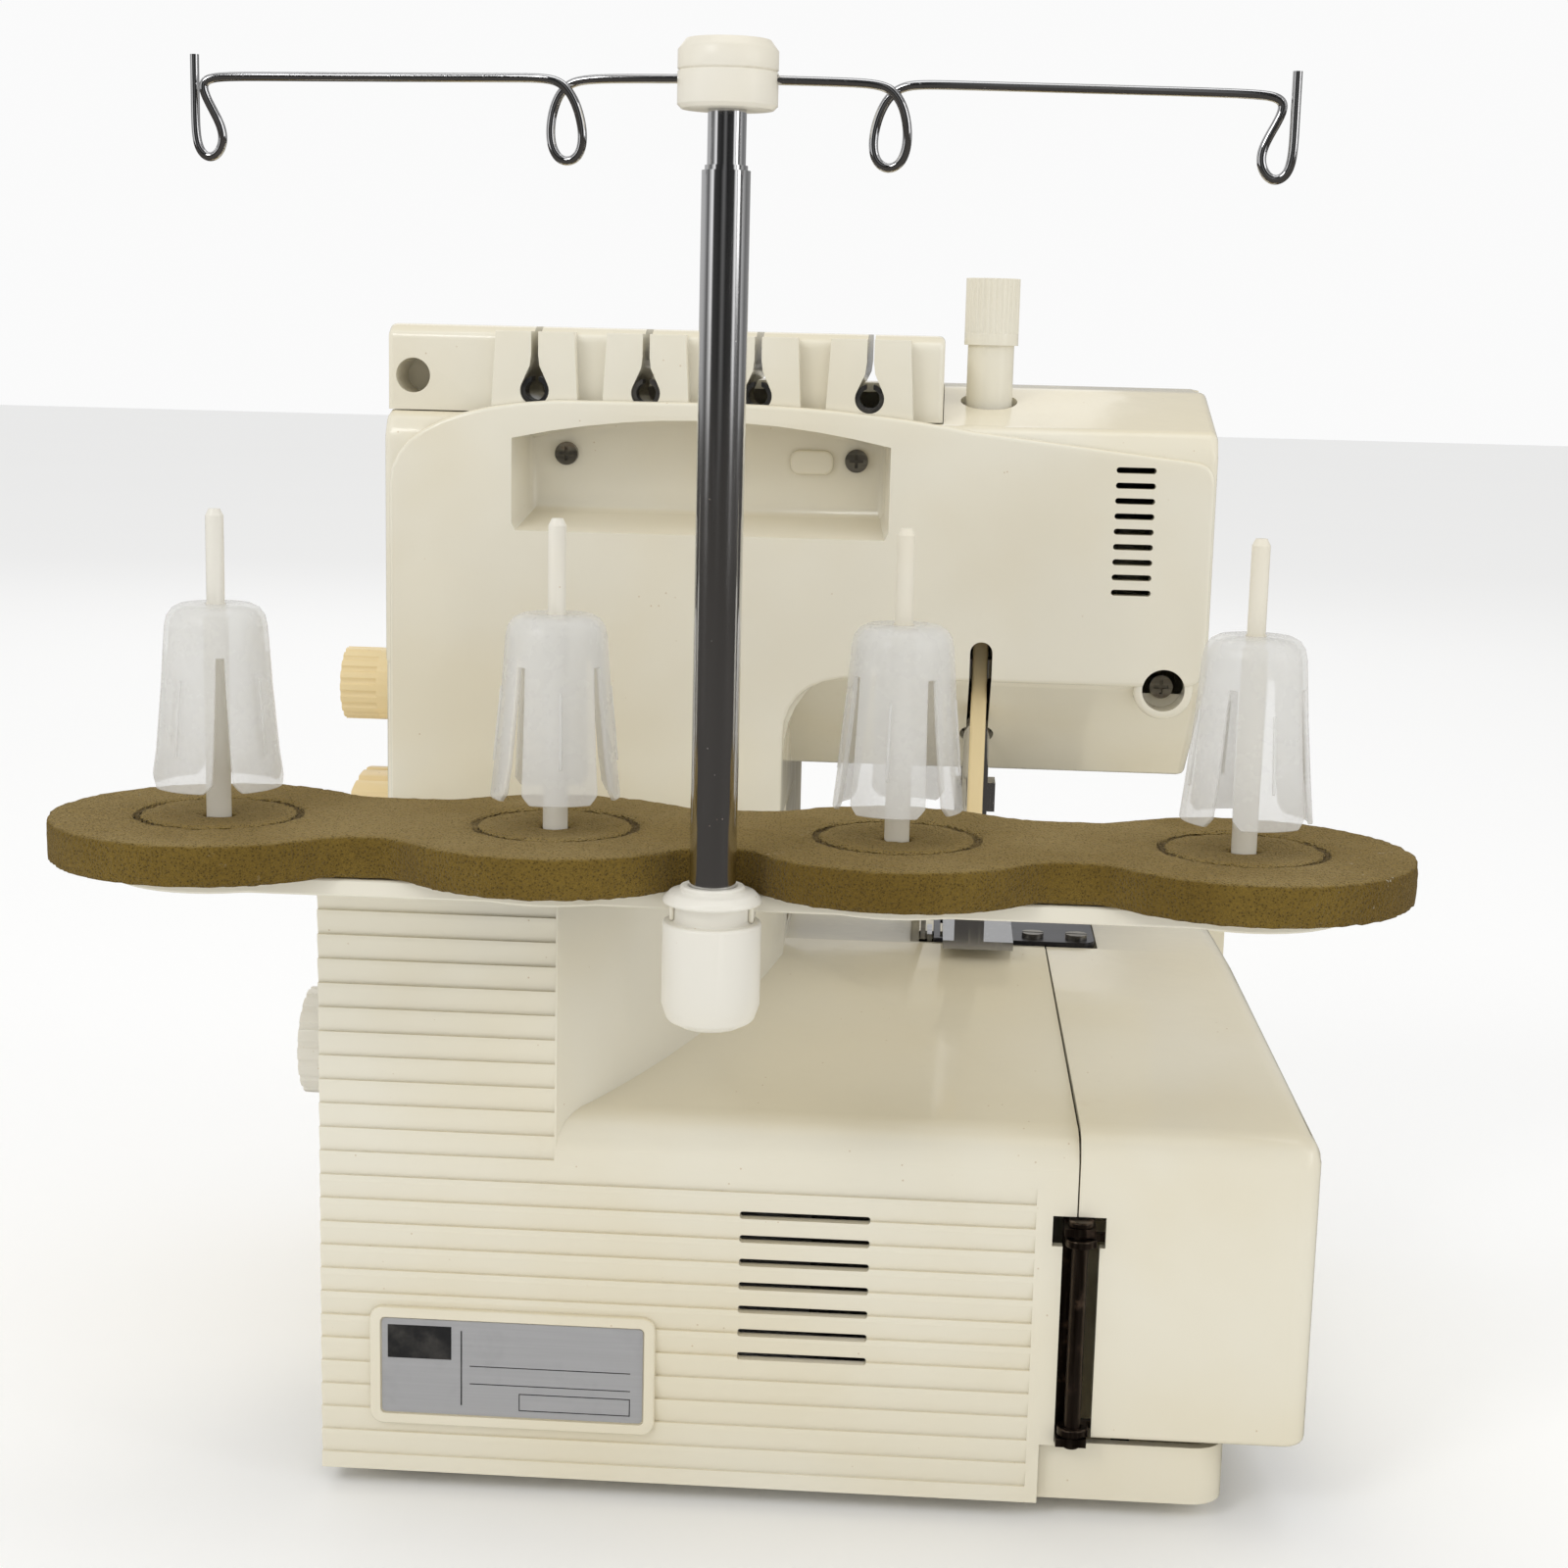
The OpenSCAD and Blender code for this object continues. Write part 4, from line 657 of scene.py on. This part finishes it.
def threadGuideBlock(look):
    seat, crown, back = blockLow, crownZ, headBack
    bar = bmesh.new()
    slab(bar, [(back - 5, seat), (back - 5, crown - 2.2), (back - 8.5, crown), (back - 56, crown),
               (back - 56, headTop + 0.4), (back - 38, headTop + 0.4), (back - 38, seat)], "x", blockEnd, sideX)
    roundOff(bar, sharpEdges(bar, 15, lambda m, a: m.z > seat + 9), look["edge"], 4)
    pads = bmesh.new()
    drops = bmesh.new()
    for i in range(4):
        x = blockEnd + look["first"] + i * look["pitch"]
        half, neck = look["padHalf"], look["neck"]
        corners = [(x - half - 1.2, seat), (x + half + 1.2, seat), (x + half, crown - 1.2),
                   (x - half, crown - 1.2)]
        slab(pads, corners, "y", back - 20, back - 0.5)
        centre = (x, seat + 5.7)
        throat, mouth = centre[1] + 6.2, centre[1] + 9
        drop = arcPoints(centre, look["slot"] / 2, 152, 388, 18)
        drop += [(x + neck + 0.35, throat), (x + neck, mouth), (x + neck, crown + 9),
                 (x - neck, crown + 9), (x - neck, mouth), (x - neck - 0.35, throat)]
        slab(drops, drop, "y", back - 70, back + 3)
    shape = joined(bar, [("UNION", pads)])
    roundOff(shape, sharpEdges(shape, 35, lambda m, a: m.y > back - 6 and m.z > seat + 1), 0.9, 3)
    well = bmesh.new()
    slab(well, arcPoints((sideX - 6.6, headTop), look["wellRadius"], 0, 350, 35), "y", back - 20, back + 3)
    shape = joined(shape, [("DIFFERENCE", drops), ("DIFFERENCE", well)])
    piece("threadBlock", shape, "machine", "ivory_shell", ["thread_block"], 30, 0.45, 3, 40)


threadGuideBlock(threadShape)
print("thread block made")


# side door
doorShape = {"wall": 2.5, "topEdge": 6.5, "footEdge": 1.5, "bedRise": 92.5, "knee": 61.4, "noseDrop": 9}


def doorShell(look):
    (outX, _), (nearY, rearY), (lowZ, highZ) = spans("side_door")
    wall, noseZ = look["wall"], highZ - look["noseDrop"]
    bedHigh = baseZ + look["bedRise"]
    kneeY = bedFront + look["knee"]
    side = [(rearY, lowZ), (rearY, bedHigh), (kneeY, highZ), (bedFront, highZ), (nearY, noseZ), (nearY, lowZ)]
    gap = seamX - 0.4
    plan = [(gap, rearY), (outX, rearY), (outX + 11, kneeY), (outX + 14, nearY), (gap + 7, nearY),
            (gap + 7, bedFront), (gap + 5, kneeY)]
    outer = bmesh.new()
    slab(outer, side, "x", outX - 1, gap + 9)
    trim = bmesh.new()
    slab(trim, plan, "z", lowZ - 9, highZ + 9)
    shell = joined(outer, [("INTERSECT", trim)])

    def outside(m, a):  # the edges that show, and not those along the seam
        acrossBack = m.y > rearY - 2 and abs(a.x) > 0.8
        return m.z > lowZ + 1 and m.y > bedFront - 1 and (m.x < outX + 20 or acrossBack)

    roundOff(shell, sharpEdges(shell, 20, outside), look["topEdge"], 7)
    foot = sharpEdges(shell, 45, lambda m, a: m.z < lowZ + 0.5 and m.y > nearY + 1)
    roundOff(shell, foot, look["footEdge"], 4)
    inner = bmesh.new()
    slab(inner, [(rearY - wall, lowZ - 9), (rearY - wall, bedHigh - 1.6), (kneeY, highZ - wall),
                 (bedFront, highZ - wall), (nearY - 9, highZ - wall - 9), (nearY - 9, lowZ - 9)],
         "x", outX - 9, gap + 20)
    inside = bmesh.new()
    slab(inside, [(gap + 19, rearY - wall), (outX + 7, rearY - wall), (outX + wall, rearY - 7 - wall),
                  (outX + 11 + wall, kneeY), (outX + 14 + wall, nearY - 9), (gap + 19, nearY - 9)],
         "z", lowZ - 9, highZ + 9)
    room = joined(inner, [("INTERSECT", inside)])
    hingeX = sum(spans("hinge_rod")[0]) / 2
    rodHigh = spans("hinge_bracket")[2][1]
    channel = bmesh.new()
    block(channel, (hingeX - 4.6, hingeX + 9), (rearY - 7, rearY + 4), (lowZ - 9, rodHigh - 6))
    channelTop = bmesh.new()
    block(channelTop, (hingeX - 5.9, hingeX + 9), (rearY - 7, rearY + 4), (rodHigh - 6.01, rodHigh + 1.5))
    corner = bmesh.new()
    block(corner, (presserX - 35.6, gap + 30), (nearY - 1, presserY - 10.4), (highZ - 3.5, highZ + 3))
    shell = joined(shell, [("DIFFERENCE", part) for part in (room, channel, channelTop, corner)])
    piece("sideDoor", shell, "door", "ivory_shell", ["side_door"], 30, 0.35, 3, 45)


doorShell(doorShape)
print("side door made")


# presser lifter
leverShape = {"edge": 0.7}


def lifterHandle(look):
    (x0, x1), (y0, y1), (z0, z1) = spans("lifter_lever")
    pivotY = y0 + 4.5
    side = [(pivotY - 3, z1 - 1), (pivotY - 1, z1), (pivotY + 0.5, z1 - 3), (pivotY + 0.5, z1 - 17),
            (pivotY + 3.4, z1 - 28), (pivotY + 3.5, z0 + 17), (y1 - 0.4, z0 + 5), (y1, z0 + 3.4),
            (y1 - 2, z0 + 0.4), (y1 - 3.4, z0), (pivotY - 0.6, z0 + 12.5), (pivotY - 3, z1 - 17),
            (pivotY - 4.4, z1 - 9)]
    bm = bmesh.new()
    slab(bm, side, "x", x0 + 0.3, x1 - 0.3)
    roundOff(bm, sharpEdges(bm, 60), look["edge"], 3)
    piece("lifterHandle", bm, "lifter", "yellowed_plastic", ["lifter_lever"], 40)


lifterHandle(leverShape)
print("lifter lever made")


# cone holders
coneShape = {"outer": 14.6, "bore": 2.15, "wall": 1.1, "slotTop": 30, "flare": 5.0, "steps": 80,
             "ribHeight": 17, "turns": {1: 20, 2: 58, 3: 35, 4: 62}}


def coneHolder(index, turn, look):
    (x0, x1), (y0, y1), (z0, z1) = spans(f"cone_holder_{index}")
    high, outer = z1 - z0, look["outer"]
    side = [(outer, 0), (outer - 0.15, 1.5), (outer - 0.85, 8), (outer - 1.6, 16), (outer - 2.25, 23),
            (outer - 2.75, look["slotTop"]), (outer - 3.2, high - 5), (outer - 3.7, high - 2.6),
            (outer - 4.9, high - 0.9), (outer - 6.6, high), (look["bore"], high)]
    bm = bmesh.new()
    rim = [bm.verts.new(mm(r, 0, z)) for r, z in side]
    edges = [bm.edges.new(pair) for pair in zip(rim, rim[1:])]
    bmesh.ops.spin(bm, geom=rim + edges, axis=(0, 0, 1), cent=(0, 0, 0), steps=look["steps"],
                   angle=math.radians(360), use_merge=True)
    column = 360 / look["steps"]
    unwanted = []
    for face in bm.faces:
        centre = face.calc_center_median() * 1000
        angle = math.degrees(math.atan2(centre.y, centre.x))
        if centre.z < look["slotTop"] - 0.1 and abs((angle + 45) % 90 - 45) < column:
            unwanted.append(face)
    bmesh.ops.delete(bm, geom=unwanted, context="FACES")
    loose = [vert for vert in bm.verts if not vert.link_faces]
    bmesh.ops.delete(bm, geom=loose, context="VERTS")
    for vert in bm.verts:
        z = vert.co.z * 1000
        if z < look["slotTop"] - 0.1:
            angle = math.degrees(math.atan2(vert.co.y, vert.co.x))
            middle = (math.floor(angle / 90) + 0.5) * 90
            narrow = (45 - column - look["flare"] * (1 - z / look["slotTop"])) / (45 - column)
            share = abs(angle - middle) / (45 - column)
            angle = math.radians(middle + (angle - middle) * narrow)
            r = math.hypot(vert.co.x, vert.co.y)
            vert.co.x, vert.co.y = r * math.cos(angle), r * math.sin(angle)
            if z < 2:
                vert.co.z += 0.0022 * max(0, share - 0.8) / 0.2
    bmesh.ops.recalc_face_normals(bm, faces=bm.faces[:])
    bmesh.ops.solidify(bm, geom=bm.faces[:], thickness=look["wall"] * 0.001)
    for i in range(4):  # a fine raised rib up the middle of each petal
        made = bmesh.ops.create_cube(bm, size=1)["verts"]
        bmesh.ops.scale(bm, vec=(0.0007, 0.0007, look["ribHeight"] * 0.001), verts=made)
        bmesh.ops.rotate(bm, verts=made, cent=(0, 0, 0), matrix=Matrix.Rotation(math.radians(-5.6), 3, "Y"))
        bmesh.ops.translate(bm, verts=made, vec=mm(12.95, 0, 8 + look["ribHeight"] / 2))
        bmesh.ops.rotate(bm, verts=made, cent=(0, 0, 0),
                         matrix=Matrix.Rotation(math.radians(45 + 90 * i), 3, "Z"))
    bmesh.ops.rotate(bm, verts=bm.verts, cent=(0, 0, 0), matrix=Matrix.Rotation(math.radians(turn), 3, "Z"))
    bmesh.ops.translate(bm, verts=bm.verts, vec=mm((x0 + x1) / 2, (y0 + y1) / 2, z0))
    node = f"cone_holder_{index}"
    piece(f"coneHolder{index}", bm, bodyOf[node], "milky_plastic", [node], 45, 0.25, 2, 40)


for index, turn in coneShape["turns"].items():
    coneHolder(index, turn, coneShape)
print("cone holders made")


# thread guide wire
wireShape = {"radius": 0.95, "turn": -5.0, "droop": 1.0, "loopAt": 33.0, "endAt": 112.6}


def guideWire(look):
    wireZ = spans("guide_wire")[2][1] - 5
    loop = [(-27, 0, 0), (-12, 0, -0.1), (-4, 0, -0.5), (0.6, -1.0, -0.9), (3.2, -5, -1.0), (4.0, -11, -0.4),
            (2.8, -15.4, 0), (0, -16.9, 0.2), (-2.8, -15.4, 0.4), (-3.6, -11, 0.7), (-2.0, -4.6, 1.0),
            (1.0, -0.8, 0.9), (5, 0, 0.5), (12, 0, 0.1)]
    end = [(-50, 0, 0), (-25, 0, 0), (-8, 0, 0.5), (-3.4, -0.4, 1.1), (-2.0, -2.0, 1.4), (-3.4, -5.4, 1.0),
           (-6.0, -10, 0.5), (-6.3, -13.8, 0.2), (-4.0, -16.8, 0), (-1.2, -15.8, -0.1), (0, -12.5, -0.2),
           (0, -6, -0.2), (0, 0, -0.2), (0, 4.4, -0.2)]
    joinedMesh = bmesh.new()
    for side in (1, -1):
        parts = ((look["loopAt"], loop), (look["endAt"], end))
        points = [(start + u, v, w) for start, part in parts for u, v, w in part]
        curve = bpy.data.curves.new("wirePath", "CURVE")
        curve.dimensions = "3D"
        curve.bevel_depth = look["radius"] * 0.001
        curve.bevel_resolution = 4
        curve.resolution_u = 6
        curve.use_fill_caps = True
        spline = curve.splines.new("NURBS")
        spline.points.add(len(points) - 1)
        for point, (u, v, w) in zip(spline.points, points):
            droop = -u * math.tan(math.radians(look["droop"])) if side < 0 else -u * 0.004
            point.co = (*mm(side * u, w * side, v + droop), 1)
        spline.use_endpoint_u = True
        spline.order_u = 4
        path = bpy.data.objects.new("wirePath", curve)
        bpy.context.scene.collection.objects.link(path)
        bpy.context.view_layer.update()
        mesh = bpy.data.meshes.new_from_object(path.evaluated_get(bpy.context.evaluated_depsgraph_get()))
        joinedMesh.from_mesh(mesh)
        bpy.data.objects.remove(path)
        bpy.data.meshes.remove(mesh)
    bmesh.ops.remove_doubles(joinedMesh, verts=joinedMesh.verts, dist=0.000001)
    bmesh.ops.rotate(joinedMesh, verts=joinedMesh.verts, cent=(0, 0, 0),
                     matrix=Matrix.Rotation(math.radians(look["turn"]), 3, "Z"))
    bmesh.ops.translate(joinedMesh, verts=joinedMesh.verts, vec=mm(0, mastY, wireZ))
    piece("guideWire", joinedMesh, "guide", "chrome", ["guide_wire"], 40)


guideWire(wireShape)
print("guide wire made")


# foam pad
foamShape = {"voxel": 1.5, "edgeWobble": 0.35, "grain": 0.16, "ringDepth": 1.0, "ringWidth": 0.9, "dish": 0.5}


def foamPad(look):
    item = temporary(castCopy("foam_pad"))
    remesh = item.modifiers.new("even", "REMESH")
    remesh.mode = "VOXEL"
    remesh.voxel_size = look["voxel"] * 0.001
    bpy.context.view_layer.update()
    mesh = bpy.data.meshes.new_from_object(item.evaluated_get(bpy.context.evaluated_depsgraph_get()))
    bpy.data.objects.remove(item)
    shape = bmesh.new()
    shape.from_mesh(mesh)
    bmesh.ops.smooth_vert(shape, verts=shape.verts, factor=0.5,
                          use_axis_x=True, use_axis_y=True, use_axis_z=True)
    shape.normal_update()
    pins = [((1.5 - i) * pinPitch, pinRow) for i in range(4)]
    moves = []
    for vert in shape.verts:
        spot = vert.co * 1000
        rough = (noise.noise(spot * 0.9) + noise.noise(spot * 0.35 + Vector((7, 1, 3)))) * look["grain"]
        wobble = noise.noise(spot * 0.07) * look["edgeWobble"] * (1 - abs(vert.normal.z))
        move = vert.normal * (rough + wobble - 0.25)
        if vert.normal.z > 0.6:
            for x, y in pins:
                r = math.hypot(spot.x - x, spot.y - y)
                gap = abs(r - ringRadius)
                if gap < look["ringWidth"] * 2:
                    move.z -= look["ringDepth"] * math.exp(-(gap / look["ringWidth"]) ** 2)
                if r < ringRadius:
                    move.z -= look["dish"] * (1 - r / ringRadius)
        moves.append(move * 0.001)
    for vert, move in zip(shape.verts, moves):
        vert.co += move
    pad = piece("foamPad", shape, "machine", "foam", ["foam_pad"], 180)


foamPad(foamShape)
print("foam pad made")


# rating plate and its frame
plateShape = {"frame": 2.9, "proud": 1.1, "corner": 3.2, "foil": 0.35}


def ratingPlate(look):
    (x0, x1), (y0, y1), (z0, z1) = spans("rating_plate")
    grow = look["frame"]
    ring = bmesh.new()
    rim = roundedBox(x0 - grow, x1 + grow, z0 - grow, z1 + grow, look["corner"])
    slab(ring, rim, "y", y0 - 1.2, y0 + look["proud"])
    roundOff(ring, sharpEdges(ring, 60, lambda m, a: m.y > y0), 0.55, 3)
    hollow = bmesh.new()
    slab(hollow, roundedBox(x0 - 0.3, x1 + 0.3, z0 - 0.3, z1 + 0.3, 1.2), "y", y0 + 0.25, y0 + 4)
    piece("plateFrame", joined(ring, [("DIFFERENCE", hollow)]), "machine", "ivory_shell", [], 30, 0.15, 2, 50)
    foil = bmesh.new()
    slab(foil, roundedBox(x0, x1, z0, z1, 1.0), "y", y0 + 0.24, y0 + 0.25 + look["foil"])
    piece("ratingPlate", foil, "machine", "plate_foil", ["rating_plate"], 30, 0.08, 2, 50)
    fields = bmesh.new()
    face = y0 + 0.25 + look["foil"]
    block(fields, (x1 - 17, x1 - 1.5), (face - 0.05, face + 0.05), (z1 - 10, z1 - 1.6))
    block(fields, (x1 - 19.6, x1 - 19.3), (face - 0.05, face + 0.04), (z1 - 21.5, z1 - 2.5))
    for z in (z1 - 11.5, z1 - 16):
        block(fields, (x0 + 3, x1 - 21.5), (face - 0.05, face + 0.04), (z, z + 0.22))
    for z in (z1 - 22.3, z1 - 18.1):
        block(fields, (x0 + 3, x0 + 30), (face - 0.05, face + 0.04), (z, z + 0.22))
    for x in (x0 + 3, x0 + 29.8):
        block(fields, (x, x + 0.22), (face - 0.05, face + 0.04), (z1 - 22.3, z1 - 17.9))
    piece("plateFields", fields, "machine", "dark_plastic")


ratingPlate(plateShape)
print("rating plate made")


# the rest of the machine: its CAD shapes with softened edges, by their bevels in millimetres
softEdges = {"base_pan": 0.5, "case_screws": 0.2, "hinge_bracket": 0.25, "hinge_rod": 0.35,
             "door_knuckles": 0.3, "front_cover": 0.8, "front_housing": 1.2, "head_front_cover": 1.2,
             "rear_cover": 0.5, "stitch_length_dial": 0.35, "feed_dial": 0.35, "handwheel": 0.5, "pressure_knob": 0.25,
             "spool_tray": 0.8, "mast_cup": 0.6, "guide_cap": 0.5, "spool_pins": 0.3, "rubber_feet": 1.0,
             "needle_plate": 0.3, "presser_foot": 0.4, "presser_bar": 0.3, "power_inlet": 0.4,
             "power_switch": 0.4, "stand_bracket": 0.2, "tension_dial_1": 0.4, "tension_dial_2": 0.4,
             "tension_dial_3": 0.4, "tension_dial_4": 0.4, "lamp_socket": 0.5, "thread_eyelets": 0.1,
             "upper_looper": 0.3, "lower_looper": 0.3}


def plainPieces(bevels):
    for node, bevel in bevels.items():
        first, *others = node.split("_")
        softened(node, first + "".join(word.title() for word in others), bevel)


plainPieces(softEdges)
print("softened pieces made")
